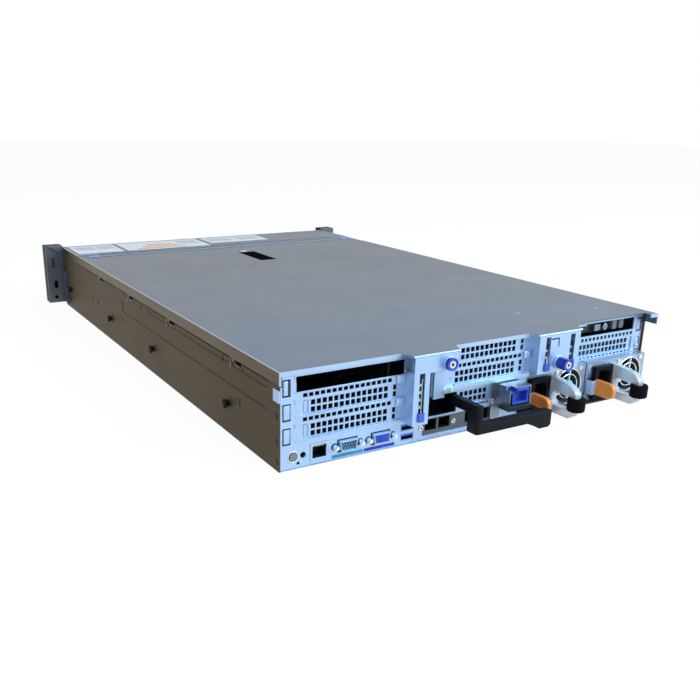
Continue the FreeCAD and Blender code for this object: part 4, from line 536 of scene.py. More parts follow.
def wire_ring(centre, radius, wire, axis="y", around=28, across=6):
    """A ring of round wire that faces along an axis of the frame."""
    bpy.ops.object.select_all(action="DESELECT")
    bpy.ops.mesh.primitive_torus_add(major_radius=radius * MM, minor_radius=wire * MM,
                                     major_segments=around, minor_segments=across,
                                     location=centre, rotation=TURN[axis])
    made = bpy.context.object
    bpy.ops.object.transform_apply(location=False, rotation=True, scale=False)
    return made


def sink(piece, wall, depth):
    """Insets the face that looks to the rear and pushes it in, leaving a wall round it."""
    top = max(v.co.y for v in piece.data.vertices)
    pick_faces(piece, lambda c, n: n.y > FACING and c.y > top - 0.2 * MM)
    bpy.ops.mesh.inset(thickness=wall * MM)
    bpy.ops.transform.translate(value=(0, -depth * MM, 0))
    done()


print("blocks, bars along", ", ".join(TURN), "and rings")

# %% [markdown]
# What repeats is modelled once. Its copies have their own meshes, so that they can be joined, and
# a joined piece has one finish and one body. Before a piece is kept, its place goes into
# its mesh, because a pattern on object coordinates would slide otherwise.

# %% Copy, join and keep
def copied(piece, dx, dy, dz):
    alone(piece)
    bpy.ops.object.duplicate()
    made = bpy.context.object
    made.location = made.location + Vector((-dx * MM, -dy * MM, dz * MM))
    return made


def together(pieces):
    alone(pieces[0])
    for piece in pieces[1:]:
        piece.select_set(True)
    if len(pieces) > 1:
        bpy.ops.object.join()
    return bpy.context.object


def repeated(piece, places):
    """The piece, which stands at the first place, joined with its copies at the others."""
    shifts = [[b - a for a, b in zip(places[0], place)] for place in places[1:]]
    return together([piece] + [copied(piece, *shift) for shift in shifts])


def keep(piece, name, finish, body="chassis", smooth=40.0):
    """Puts a piece's place in its mesh, and gives it its name, finish and body."""
    alone(piece)
    bpy.ops.object.transform_apply(location=True, rotation=True, scale=True)
    if smooth:
        bpy.ops.object.shade_smooth_by_angle(angle=radians(smooth))
    piece.name = name
    piece.data.name = name
    piece.data.materials.clear()
    piece.data.materials.append(finish.material)
    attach(piece, body)
    print(name, len(piece.data.polygons), "faces on", body)
    return piece


print("helpers ready")

# %% [markdown]
# Moulded pieces have rounded edges everywhere, and the light runs along them. A copy of the packed
# piece is merged, gets a bevel on its sharp edges only, and stands for the plain one. The clear
# grips also lose height towards their outer end, where the hand closes round them.

# %% Round the edges of the moulded pieces
SHARP = 30.0
GRIP_START_Y = -8.0
GRIP_FOOT_Z = 14.0
GRIP_RISE = 23.0
GRIP_SLOPE = 0.26


def softened(node, finish, width, body, segments=3):
    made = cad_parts[node].copy()
    made.data = made.data.copy()
    made.parent = None
    bpy.context.collection.objects.link(made)
    alone(made)
    bpy.ops.object.mode_set(mode="EDIT")
    bpy.ops.mesh.select_all(action="SELECT")
    bpy.ops.mesh.remove_doubles(threshold=0.02 * MM)
    bpy.ops.mesh.dissolve_limited(angle_limit=radians(2))
    bpy.ops.object.mode_set(mode="OBJECT")
    bevel = made.modifiers.new("rounding", "BEVEL")
    bevel.width = width * MM
    bevel.segments = segments
    bevel.limit_method = "ANGLE"
    bevel.angle_limit = radians(SHARP)
    bpy.ops.object.modifier_apply(modifier="rounding")
    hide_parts(node)
    return keep(made, node + "_moulded", finish, body)


def slope_down(grip):
    """Lowers the top of a grip towards its outer end, while its foot stays level."""
    start = spot(0, GRIP_START_Y, GRIP_FOOT_Z)
    for vertex in grip.data.vertices:
        past = max(0.0, vertex.co.y - start.y)
        height = max(0.0, (vertex.co.z - start.z) / (GRIP_RISE * MM))
        vertex.co.z -= past * GRIP_SLOPE * height


softened("rear_handle", black_plastic, 1.1, "rear_handle")
for n in (1, 2):
    supply = "supply_%d" % n
    release = "supply_latch_%d" % n
    slope_down(softened("supply_grip_%d" % n, clear_grey, 1.8, supply, 4))
    softened("supply_inlet_%d" % n, black_plastic, 0.5, supply, 2)
    softened(release, release_orange, 0.5, release, 2)
softened("handle_latch", blue_plastic, 0.6, "handle_latch", 2)

# %% [markdown]
# The blue release sits in a dark frame that is open at the top. Three thin blocks follow its foot
# and its two sides.

# %% Frame of the handle's release
RIM_ROUND = 0.3
LEFT_RIM = 1.4
RIGHT_RIM = 1.6
LEFT_RIM_SHORT = 4.0
x, y, z = node_span("handle_latch")
rim_y = (y[0] - 0.3, y[0] + 2.0)
rims = [block(x, rim_y, (z[0] - 0.2, z[0] + 1.5), RIM_ROUND),
        block((x[1] - RIGHT_RIM, x[1]), rim_y, z, RIM_ROUND),
        block((x[0], x[0] + LEFT_RIM), rim_y, (z[0], z[1] - LEFT_RIM_SHORT), RIM_ROUND)]
keep(together(rims), "handle_latch_rim", black_plastic, "handle_latch")

# %% [markdown]
# A cable strap is a roll of hook-and-loop tape. Wound tape is a stack of rings, each a little off
# the last, so the roll is a thick bar with soft rims whose ends step down at every winding.

# %% Cable straps
STRAP_RIM = 1.6
WINDINGS = 3
TAPE = 1.5
TAPE_GAP = 0.3
TAPE_STEP = 0.5
CORE_R = 2.0
CORE_DEPTH = 1.2


def off_axis(centre):
    """How far a face's centre is from the roll's own axis."""
    return (centre.x ** 2 + centre.y ** 2) ** 0.5


def wound_strap(number):
    node = "supply_strap_%d" % number
    x, y, z = node_span(node)
    centre = spot(sum(x) / 2, sum(y) / 2, sum(z) / 2)
    roll = rod(centre, (x[1] - x[0]) / 2, z[1] - z[0], "z", 48, STRAP_RIM, 4)
    for side in (1, -1):
        for winding in range(WINDINGS):
            top = max(v.co.z * side for v in roll.data.vertices)
            lowest = top - CORE_DEPTH * MM
            pick_faces(roll, lambda c, n: (n.z * side > FACING and c.z * side > lowest
                                           and off_axis(c) < CORE_R * MM))
            bpy.ops.mesh.inset(thickness=TAPE * MM)
            bpy.ops.mesh.inset(thickness=TAPE_GAP * MM)
            bpy.ops.transform.translate(value=(0, 0, -side * TAPE_STEP * MM))
            done()
    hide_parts(node)
    return keep(roll, "supply_strap_roll_%d" % number, strap_fabric,
                "supply_%d" % number)


for n in (1, 2):
    wound_strap(n)

# %% [markdown]
# The captive thumbscrews have a blue cap with a fluted rim, a plain metal screw in its middle and
# a metal collar against the bracket. Every second side of the cap's bar is drawn in a little, so
# the flutes are real and not only shading.

# %% Thumbscrews
CAP_R = 5.7
CAP_SIDES = 48
FLUTE = 0.35
CAP_WALL = 2.2
CAP_DEEP = 1.0
SCREW_R = 3.3
SCREW_WALL = 1.9
SCREW_DEEP = 0.8
SCREW_SUNK = 0.2
COLLAR_R = 6.4
COLLAR_LENGTH = 2.7


def cap_side(centre):
    """The number of a side of the cap, counted round its axis."""
    return round((atan2(centre.z, centre.x) + pi) / (2 * pi / CAP_SIDES))


def thumbscrew(number, length):
    """A thumbscrew whose cap stands out by a length from its collar."""
    body = "riser_thumbscrew_%d" % number
    span = node_span(body)
    x = sum(span[0]) / 2
    z = sum(span[2]) / 2
    face = node_span("riser_bracket_%d" % number)[1][0]
    collar_front = face - COLLAR_LENGTH
    cap = bar(x, z, CAP_R, collar_front - length, collar_front, CAP_SIDES, 0.0)
    pick_faces(cap, lambda c, n: abs(n.y) < 0.5 and cap_side(c) % 2 == 0)
    bpy.ops.mesh.extrude_faces_move(TRANSFORM_OT_shrink_fatten={"value": -FLUTE * MM})
    done()
    sink(cap, CAP_WALL, CAP_DEEP)
    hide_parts(body)
    keep(cap, "thumbscrew_cap_%d" % number, blue_plastic, body, 30)
    screw = bar(x, z, SCREW_R, collar_front - length + SCREW_SUNK, collar_front, 24, 0.3)
    sink(screw, SCREW_WALL, SCREW_DEEP)
    keep(screw, "thumbscrew_screw_%d" % number, screw_steel, body, 30)
    collar = bar(x, z, COLLAR_R, collar_front, face - 0.1, 40, 0.4)
    keep(collar, "thumbscrew_collar_%d" % number, bracket_steel, body, 30)


thumbscrew(1, 3.4)
thumbscrew(2, 11.0)

# %% [markdown]
# The two D connectors: a coloured insert fills the metal shell, with rows of holes in the video
# one and pins in the serial one, and a hexagonal post with a hole for the plug's screw stands at
# each end. The insert's foot is narrower than its head, which gives the D its name.

# %% Connector inserts, pins and posts
DSUB_Z = 12.2
DSUB_FACE = -3.4
SERIAL_X = 63.9
VIDEO_X = 97.1
D_HALF_W = 7.7
D_HALF_H = 3.4
D_TAPER = 0.86
INSERT_BACK = -0.9
POST_OUT = 12.5
POST_R = 2.6
POST_WALL = 1.1
POST_BORE = 2.5


def d_insert(x, y0, y1):
    made = block((x - D_HALF_W, x + D_HALF_W), (y0, y1), (DSUB_Z - D_HALF_H, DSUB_Z + D_HALF_H), 0.0)
    pick_faces(made, lambda c, n: n.z < -FACING)
    bpy.ops.transform.resize(value=(D_TAPER, 1, 1))
    done()
    pick_faces(made, lambda c, n: True)
    round_edges(0.5)
    return made


def contact_rows(x, rows, pitch, step, radius, length):
    """Rows of round contacts about the connector's middle, over a length from y0 to y1."""
    places = []
    for row, count in enumerate(rows):
        z = DSUB_Z + ((len(rows) - 1) / 2 - row) * step
        places += [(x + (i - (count - 1) / 2) * pitch, 0.0, z) for i in range(count)]
    first = bar(places[0][0], places[0][2], radius, *length, 10, 0.0)
    return repeated(first, places)


video_blue = Finish("video_blue", (0.03, 0.06, 0.55), 0.4)
video_insert = d_insert(VIDEO_X, DSUB_FACE + 0.2, INSERT_BACK)
keep(video_insert, "video_insert", video_blue)
# Painted shade: the video connector's holes are black discs on its insert, not real holes.
video_hole_shade = contact_rows(VIDEO_X, (5, 5, 5), pitch=2.3, step=2.0, radius=0.55,
                           length=(DSUB_FACE + 0.14, -2.4))
keep(video_hole_shade, "video_hole_shade", black_plastic)
serial_insert = d_insert(SERIAL_X, -1.5, INSERT_BACK)
keep(serial_insert, "serial_insert", teal_plastic)
serial_pins = contact_rows(SERIAL_X, (5, 4), pitch=2.75, step=2.8, radius=0.5,
                           length=(DSUB_FACE + 0.3, -1.4))
keep(serial_pins, "serial_pins", supply_steel)
post_places = [(x + out, 0.0, DSUB_Z) for x in (SERIAL_X, VIDEO_X) for out in (-POST_OUT, POST_OUT)]
post = bar(post_places[0][0], DSUB_Z, POST_R, DSUB_FACE - 1.0, 0.1, 6, 0.3)
sink(post, POST_WALL, POST_BORE)
keep(repeated(post, post_places), "connector_posts", chrome)

# %% [markdown]
# The other sockets: gold contacts, a dark throat and two lights in the network jack, and blue
# tongues in the two USB ports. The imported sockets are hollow, so contacts and tongues stand inside.

# %% Jack contacts and tongues
JACK_X = (30.6, 43.2)
JACK_Z = (6.1, 17.2)
THROAT_Y = (8.0, 12.0)
CONTACTS = 8
CONTACT_PITCH = 1.35
CONTACT_Z = (15.6, 16.3)
LIGHT_X = (28.7, 43.5)
LIGHT_W = 1.6
LIGHT_Z = (15.6, 18.6)
USB_X = (119.5, 130.5)
USB_Y = (0.5, 12.2)
USB_Z = (4.2, 13.0)
TONGUE_RISE = (3.7, 5.7)

throat = block(JACK_X, THROAT_Y, JACK_Z, 0.2)
keep(throat, "jack_throat", black_plastic)
contact = block((32.0, 32.6), (1.0, 8.2), CONTACT_Z, 0.0)
contacts = repeated(contact, [(i * CONTACT_PITCH, 0.0, 0.0) for i in range(CONTACTS)])
keep(contacts, "jack_contacts", gold)
light = block((LIGHT_X[0], LIGHT_X[0] + LIGHT_W), (-0.65, -0.3), LIGHT_Z, 0.2)
lights = repeated(light, [(x, 0.0, 0.0) for x in LIGHT_X])
keep(lights, "jack_lights", cream_plastic)
tongue = block(USB_X, USB_Y, [USB_Z[0] + rise for rise in TONGUE_RISE], 0.3)
tongues = repeated(tongue, [(0.0, 0.0, z) for z in USB_Z])
keep(tongues, "usb_tongues", blue_plastic)

# %% [markdown]
# Coloured bands under the D connectors say which is which, and the round button has a bright ring.
# The bands are thin plates on the wall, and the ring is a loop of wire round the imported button.

# %% Colour bands and the button's ring
SERIAL_BAND_X = (49.0, 79.6)
VIDEO_BAND_X = (80.6, 111.8)
BAND_Y = (-0.2, 0.0)
BAND_Z = (1.9, 5.0)
BUTTON_X = 12.6
BUTTON_Z = 11.2
BUTTON_R = 4.5

serial_band = block(SERIAL_BAND_X, BAND_Y, BAND_Z, 0.1)
keep(serial_band, "serial_band", Finish("band_teal", (0.02, 0.26, 0.38), 0.5))
video_band = block(VIDEO_BAND_X, BAND_Y, BAND_Z, 0.1)
keep(video_band, "video_band", Finish("band_blue", (0.02, 0.03, 0.40), 0.5))
button_ring = wire_ring(spot(BUTTON_X, -0.2, BUTTON_Z), BUTTON_R, 0.5, "y", 40, 8)
keep(button_ring, "button_ring", chrome)

# %% [markdown]
# Sheet metal is stiffened and guided by small folds. Each card slot has a ledge under it and a
# tail plate at its left, in a notch that shows dark round it. The dark of the notch is painted
# shade: thin black strips set in the opening. All of them follow from the slots' heights, one
# standard pitch apart.

# %% Slot ledges and tails
SLOT_PITCH = 20.32
LEFT_SLOT_Z = 72.1
MIDDLE_SLOT_Z = 74.4
DEEP_Y = 15.0
LEDGE_OUT = 0.9
LEDGE_H = 1.1
LEDGE_DROP = 7.4
LEFT_LEDGE_X = (14.0, 118.5)
MIDDLE_LEDGE_X = (173.0, 258.0)
SHORT_LEDGE = (180.0, 222.0, 26.3)
RIGHT_LEDGE = (316.0, 420.0, 44.4)
TAIL_X = (4.2, 9.4)
TOP_TAIL_X = (4.2, 8.0)
TAIL_DROP = 8.2
TAIL_RISE = 3.8
NOTCH_X = (2.95, 10.25)
NOTCH_Y = (0.9, 1.18)
NOTCH_LINE = 0.7
left_z = [LEFT_SLOT_Z - i * SLOT_PITCH for i in range(3)]
middle_z = [MIDDLE_SLOT_Z - i * SLOT_PITCH for i in range(2)]


def ledge(x0, x1, z, wall=0.0):
    return block((x0, x1), (wall - LEDGE_OUT, wall), (z, z + LEDGE_H), 0.3)


def tail(x0, x1, y0, y1, slot_z):
    return block((x0, x1), (y0, y1), (slot_z - TAIL_DROP, slot_z + TAIL_RISE), 0.2)


ledges = [ledge(*LEFT_LEDGE_X, z - LEDGE_DROP) for z in left_z]
ledges += [ledge(*MIDDLE_LEDGE_X, z - LEDGE_DROP) for z in middle_z]
ledges += [ledge(*SHORT_LEDGE), ledge(*RIGHT_LEDGE, DEEP_Y)]
keep(together(ledges), "slot_ledges", wall_steel)

tails = [tail(*TOP_TAIL_X, 0.2, 1.15, left_z[0])]
tails += [tail(*TAIL_X, 0.2, 1.15, z) for z in left_z[1:]]
tails += [tail(BODY_W - TAIL_X[1], BODY_W - TAIL_X[0], DEEP_Y + 0.2, DEEP_Y + 1.1, z)
          for z in left_z[:2]]
keep(together(tails), "slot_tails", wall_steel)

# Painted shade: black strips fill the notch openings round each tail.
notches = []
for z in left_z:
    foot = z - 8.6
    head = z + 4.2
    for edge in (foot, head):
        notches.append(block(NOTCH_X, NOTCH_Y, (edge - NOTCH_LINE, edge + NOTCH_LINE), 0.0))
    notches.append(block((NOTCH_X[0], 4.1), NOTCH_Y, (foot - NOTCH_LINE, head + NOTCH_LINE), 0.0))
keep(together(notches), "tail_notch_shade", black_plastic, smooth=0)
card_edge = block((8.3, 9.8), (0.3, 1.15), (left_z[0] - 8.8, left_z[0] + 4.0), 0.1)
keep(card_edge, "card_edge", board_green)

# %% [markdown]
# A hold-down tab with a pressed dimple clamps the right end of a blanking plate. The tab and its
# dimple are modelled once and copied to the three places.

# %% Hold-down tabs
TAB_DROP = 10.2
LEFT_TAB_X = 115.2
MIDDLE_TAB_X = 257.4
TAB_HALF_W = 4.2
TAB_HALF_H = 3.4
TAB_DIMPLE_R = 1.5
tab_places = [(LEFT_TAB_X, 0.0, z - TAB_DROP) for z in left_z[:2]]
tab_places.append((MIDDLE_TAB_X, 0.0, middle_z[0] - TAB_DROP))
x, y, z = tab_places[0]
tab = together([block((x - TAB_HALF_W, x + TAB_HALF_W), (-1.8, 0.0),
                      (z - TAB_HALF_H, z + TAB_HALF_H), 0.5),
                bar(x + 1.0, z, TAB_DIMPLE_R, -2.3, -1.0, 16, 0.3)])
keep(repeated(tab, tab_places), "slot_tabs", wall_steel)

# %% [markdown]
# The pressed marks are plain: an upright rounded groove beside each slot and on two blanking
# plates, and small round ones where the wall is embossed. A groove is a ring of fine wire whose
# upper and lower halves are drawn apart, so it catches light on one side.

# %% Pressed marks
GROOVE_WIRE = 0.22
NUMBER_X = 13.7
DIMPLES = ((5.6, 18.5), (5.8, 5.0), (57.0, 20.6), (92.0, 20.8), (118.0, 21.6), (110.0, 2.0))


def groove(x, z, width, height, y):
    """A pressed outline with round ends, standing a hair above the sheet."""
    made = wire_ring(spot(x, y, z), width / 2, GROOVE_WIRE)
    stretch = (height - width) / 2 * MM
    for vertex in made.data.vertices:
        vertex.co.z += stretch if vertex.co.z > 0 else -stretch
    return made


marks = [groove(NUMBER_X, z - 2.2, 3.0, 9.0, 0.0) for z in left_z]
marks += [groove(24.5, z, 3.6, 11.0, 0.75) for z in left_z[1:]]
marks.append(groove(BODY_W - NUMBER_X, left_z[1] - 1.0, 3.0, 9.0, DEEP_Y))
marks += [groove(x, z, 2.4, 3.2, 0.0) for x, z in DIMPLES]
keep(together(marks), "pressed_marks", wall_steel)

# %% [markdown]
# Each slot has its number on the wall. The digits are text objects with a hair of thickness, made
# into a mesh before their place is applied.

# %% Slot numbers
DIGIT_Y = -0.02


def digit(value, x, z, size):
    bpy.ops.object.select_all(action="DESELECT")
    bpy.ops.object.text_add(location=spot(x, DIGIT_Y, z), rotation=(pi / 2, 0, pi))
    made = bpy.context.object
    made.data.body = str(value)
    made.data.size = size * MM
    made.data.align_x = "CENTER"
    made.data.extrude = 0.06 * MM
    bpy.ops.object.convert(target="MESH")
    return bpy.context.object


digits = [digit(i + 1, NUMBER_X, z + 4.0, 4.6) for i, z in enumerate(left_z)]
digits += [digit(i + 4, 169.2, z - 1.4, 3.6) for i, z in enumerate(middle_z)]
# Painted shade: the pressed digits are coloured darker than the wall.
digit_painted_shade = Finish("digit_painted_shade", (0.16, 0.19, 0.24), 0.6)
keep(together(digits), "slot_numbers", digit_painted_shade, smooth=0)

# %% [markdown]
# The rear edge of the floor is hemmed, folded over on itself, which leaves two fine lines along
# the foot of the wall. Each line is a thin strip, and under the network card the upper one stands
# higher and is wider.

# %% Hems of the floor
HEM_SPLIT = 138.0
HEM_Y = (-0.7, 0.0)
LINE_Y = (-0.45, 0.0)
hems = [block((1.0, HEM_SPLIT), HEM_Y, (0.2, 1.0), 0.2),
        block((28.0, HEM_SPLIT), LINE_Y, (1.6, 2.2), 0.15),
        block((HEM_SPLIT, 260.0), HEM_Y, (0.2, 1.0), 0.2),
        block((HEM_SPLIT, 260.0), LINE_Y, (2.4, 3.2), 0.15)]
keep(together(hems), "floor_hems", wall_steel)

# %% [markdown]
# Plated pan-head screws hold the risers, the side flange and the card bracket. A head is a short
# bar with a soft rim, and its crossed recess is not cut but painted shade: two thin dark blocks on
# the head, which at this size read as a recess from every side.

# %% Screws of the rear wall
SCREW_PLACES = ((219.6, -1.2, 25.0), (139.6, 0.0, 12.6), (176.0, 1.2, 13.0),
                (427.0, DEEP_Y, 47.0), (336.0, DEEP_Y, 64.0))
PAN_R = 2.4
PAN_H = 1.3
x, y, z = SCREW_PLACES[0]
cross = PAN_R * 0.55
cross_y = (y - PAN_H - 0.06, y - 1.2)
head = bar(x, z, PAN_R, y - PAN_H, y, 24, 0.5)
keep(repeated(head, SCREW_PLACES), "screw_heads", screw_steel)
# Painted shade: two dark blocks on each head stand for the recess.
recess = together([block((x - cross, x + cross), cross_y, (z - 0.3, z + 0.3), 0.0),
                   block((x - 0.3, x + 0.3), cross_y, (z - cross, z + cross), 0.0)])
keep(repeated(recess, SCREW_PLACES), "screw_recess_shade", black_plastic, smooth=0)

# %% [markdown]
# The side walls show their stampings: a small ledge and a stop under each of the cover's hooks,
# and round seats for the countersunk screws of the left rear corner. The right wall has the same
# hooks, so the pair is copied along both.

# %% Stampings of the side walls
STAMP = 0.35
LEDGE_Z = (67.6, 68.5)
STOP_Z = (64.0, 68.5)
SEAT_R = 2.9
SEAT_Y = 5.6
SEAT_Z = (46.7, 24.3, 7.4)
hook_places = [(x, y, 0.0) for x in (-STAMP, BODY_W) for y in HOOK_Y]
hook_y = HOOK_Y[0]
hook = together([block((-STAMP, 0.0), (hook_y - 16.0, hook_y - 2.0), LEDGE_Z, 0.1),
                 block((-STAMP, 0.0), (hook_y + 6.0, hook_y + 9.0), STOP_Z, 0.1)])
keep(repeated(hook, hook_places), "hook_ledges", ear_steel)
seat = wire_ring(spot(0, SEAT_Y, SEAT_Z[0]), SEAT_R, 0.3, "x")
seats = repeated(seat, [(0.0, SEAT_Y, z) for z in SEAT_Z])
keep(seats, "corner_screw_seats", side_steel)

# %% [markdown]
# The rail studs stand out from both walls. Their blackened heads hang the server in its rails, and
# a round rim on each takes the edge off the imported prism.

# %% Heads of the rail studs
STUD_Y = (97.5, 294.4, 448.8, 642.6)
STUD_Z = 28.5
STUD_OUT = 3.4
STUD_R = 4.45
STUD_HEAD = 1.3
stud_places = [(x, y, STUD_Z) for y in STUD_Y for x in (-STUD_OUT, BODY_W + STUD_OUT)]
stud_head = rod(spot(*stud_places[0]), STUD_R, STUD_HEAD, "x", 32, 0.3)
stud_dark = Finish("stud_dark", (0.010, 0.009, 0.008), 0.6, Specular_IOR_Level=0.05)
keep(repeated(stud_head, stud_places), "stud_heads", stud_dark)

# %% [markdown]
# On the fixed part of the top lie three thin plates with plain bars and fields of colour. Each
# stands about a tenth of a millimetre above what it lies on, enough to show and too little to throw
# a shadow.

# %% Plates on the top
top_z = node_span("front_top_cover")[2][1]
PLATE = 0.15
PLATE_PLACES = (((6.0, 70.0), (605.0, 672.0)), ((76.0, 201.0), (605.0, 672.0)),
                ((209.0, 305.0), (622.0, 672.0)))
BAR_X = (92.0, 166.0)
BAR_Y = (611.0, 620.0)
BAR_PITCH = 15.0
BAR_INDENT = 12.0
BAR_SHORTER = 6.0
FIELD_X = ((12.0, 38.0), (42.0, 66.0), (164.0, 196.0), (214.0, 254.0), (262.0, 300.0))
FIELD_Y = (634.0, 664.0)


def flat(x, y, low, high, bevel=0.0):
    """A thin plate at heights counted from the top of the server."""
    return block(x, y, (top_z + low, top_z + high), bevel)


plates = [flat(x, y, 0.0, PLATE, 0.05) for x, y in PLATE_PLACES]
plate_white = Finish("plate_white", (0.80, 0.84, 0.88), 0.35)
keep(together(plates), "blank_plates", plate_white, smooth=0)
bars = [flat((BAR_X[0] + i * BAR_INDENT, BAR_X[1] - i * BAR_SHORTER),
             [y + i * BAR_PITCH for y in BAR_Y], PLATE, PLATE + 0.07) for i in range(3)]
bar_orange = Finish("bar_orange", (0.80, 0.36, 0.16), 0.4)
keep(together(bars), "plate_bars", bar_orange, smooth=0)
fields = [flat(x, FIELD_Y, PLATE, PLATE + 0.05) for x in FIELD_X]
field_grey = Finish("field_grey", (0.55, 0.60, 0.66), 0.4)
keep(together(fields), "plate_fields", field_grey, smooth=0)

# %% [markdown]
# A rib runs across the front of the cover with a blue touch pad at each end, and a seam parts the
# cover from the fixed top. Both edges catch the light as fine bright lines, which a render at this
# size loses, so each line is a thin strip. Two small angles are stamped near the rear.

# %% Light edges, touch pads and stamped angles
RIB_SUNK = -0.5
LINE = 0.08
RIB_Y = (576.2, 577.6)
SEAM_LINES_Y = ((592.8, 594.0), (601.0, 601.9))
PAD_X = (10.0, BODY_W - 24.0)
PAD_W = 17.0
PAD_Y = (574.0, 588.0)
ANGLE_PLACES = ((300.0, 66.0, 0.0), (392.0, 46.0, 0.0))
ANGLE_ARM = 9.0
ANGLE_LINE = 0.5
ANGLE_LEG = 8.0
rib = flat((31.0, BODY_W - 28.0), RIB_Y, 0.0, LINE)
keep(rib, "rib_light_edge", bracket_steel, "cover", smooth=0)
seam = [flat((2.0, BODY_W - 2.0), SEAM_LINES_Y[0], 0.0, LINE),
        flat((30.0, BODY_W - 30.0), SEAM_LINES_Y[1], RIB_SUNK, RIB_SUNK + 0.4)]
keep(together(seam), "seam_light_edges", bracket_steel, smooth=0)
pad = flat((PAD_X[0], PAD_X[0] + PAD_W), PAD_Y, RIB_SUNK, RIB_SUNK + 0.6, 0.2)
pads = repeated(pad, [(x, 0.0, 0.0) for x in PAD_X])
keep(pads, "touch_pads", Finish("pad_blue", (0.16, 0.27, 0.70), 0.4), "cover")
# Painted highlight: the stamped angles are thin strips in the bright rear steel's colour, for the
# light along their ridges.
x, y = ANGLE_PLACES[0][:2]
angle = together([flat((x, x + ANGLE_ARM), (y, y + ANGLE_LINE), 0.0, 0.1),
                  flat((x, x + ANGLE_LINE), (y - ANGLE_LEG, y + ANGLE_LINE), 0.0, 0.1)])
angles = repeated(angle, ANGLE_PLACES)
keep(angles, "cover_marks", bracket_steel, "cover", smooth=0)

# %% [markdown]
# Behind each supply's grille turns a small fan. From outside one sees a wire guard of two rings
# with three spokes, the bright hub plate and the screws that hold the fan. The rings are real wire
# and the spokes are blocks turned round the fan's axis.

# %% Guards, hubs and screws of the supplies
FAN_X = 62.0
GUARD_WIRES = ((17.8, 0.7), (12.2, 0.6))
SPOKE_LENGTH = 18.0
SPOKE_TURNS = (35, 155, 275)
HUB_R = 6.4
FAN_SCREWS = ((-16.0, 15.8), (16.0, 15.8), (-16.0, -15.8), (16.0, -15.8))
hub_cyan = Finish("hub_cyan", (0.10, 0.74, 0.76), 0.35)


def fan_front(number):
    """What stands before a supply's fan."""
    body = "supply_%d" % number
    case_x, case_y, case_z = node_span("supply_case_%d" % number)
    x = case_x[0] + FAN_X
    z = sum(case_z) / 2
    face = case_y[0]
    guard = [wire_ring(spot(x, face - 0.4, z), radius, wire, "y", 40, 8)
             for radius, wire in GUARD_WIRES]
    for turn in SPOKE_TURNS:
        spoke = block((x, x + SPOKE_LENGTH), (face - 1.2, face - 0.2), (z - 0.8, z + 0.8), 0.3)
        alone(spoke)
        bpy.ops.transform.rotate(value=radians(turn), orient_axis="Y",
                                 center_override=spot(x, face, z))
        guard.append(spoke)
    keep(together(guard), "fan_guard_%d" % number, chrome, body)
    hub = bar(x, z, HUB_R, face - 1.6, face + 0.3, 36, 0.5)
    keep(hub, "fan_hub_plate_%d" % number, hub_cyan, body)
    places = [(x + dx, 0.0, z + dz) for dx, dz in FAN_SCREWS]
    screw = bar(places[0][0], places[0][2], 2.3, face - 1.2, face, 20, 0.5)
    keep(repeated(screw, places), "fan_screws_%d" % number, screw_steel, body)


print("a fan guard has", len(GUARD_WIRES), "rings and", len(SPOKE_TURNS), "spokes")

# %% [markdown]
# A supply also shows two narrow spring strips at its left, which ground it against the cage, and
# one small light. They are plain blocks and a bar on its face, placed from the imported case.

# %% Dress both supplies
STRIP_TOP = 3.0
SUPPLY_LIGHT_X = 29.0
SUPPLY_LIGHT_DROP = 4.2


def springs_and_light(number):
    body = "supply_%d" % number
    x, y, z = node_span("supply_case_%d" % number)
    left = x[0]
    face = y[0]
    top = z[1] - STRIP_TOP
    strips = [block((left + 1.0, left + 1.6), (face - 0.8, face), (z[0] + 4.0, top), 0.1),
              block((left + 3.6, left + 6.4), (face - 0.5, face), (z[0] + 27.0, top), 0.2)]
    keep(together(strips), "supply_spring_%d" % number, bracket_steel, body)
    light = bar(left + SUPPLY_LIGHT_X, z[1] - SUPPLY_LIGHT_DROP, 1.0, face - 0.5, face, 16, 0.2)
    keep(light, "supply_light_%d" % number, cream_plastic, body)


for n in (1, 2):
    fan_front(n)
    springs_and_light(n)

# %% [markdown]
# Through the open slot at the right one sees the end of a card: a dark board with a silver
# capacitor, a cable plug and two grey strips. Only what the slot shows is made.

# %% The card behind the right slot
BOARD_X = (322.0, 416.0)
BOARD_Y = 24.0
BOARD_Z = (66.5, 77.5)
PARTS_Y = (19.0, BOARD_Y)
STRIP_X = (392.0, 402.0)
STRIP_W = 6.0
board = block(BOARD_X, (BOARD_Y, BOARD_Y + 1.6), BOARD_Z, 0.2)
keep(board, "slot_card_board", board_green)
card_parts = [bar(380.0, 72.0, 3.6, 17.5, BOARD_Y, 32, 0.8),
              block((366.0, 375.0), PARTS_Y, (68.5, 75.0), 0.5)]
keep(together(card_parts), "slot_card_parts", box_steel)
card_strip = block((STRIP_X[0], STRIP_X[0] + STRIP_W), PARTS_Y, (67.5, 77.0), 0.4)
card_strips = repeated(card_strip, [(x, 0.0, 0.0) for x in STRIP_X])
keep(card_strips, "slot_card_strips", grey_plastic)

# %% [markdown]
# The camera stands where the photographer stood: behind the server, to its left and a little above
# it. The place and the turn come from matching known sizes, such as the width between the rack
# ears, with what the picture shows.

# %% Camera
IMAGE_W = 700.0
FOCAL_PX = 815.6
CENTRE_PX = (313.6, 391.2)
CAMERA_AT = (-274.9, -528.7, 272.8)
CAMERA_TURN = (71.13, -0.71, 150.20)
SENSOR = 36.0

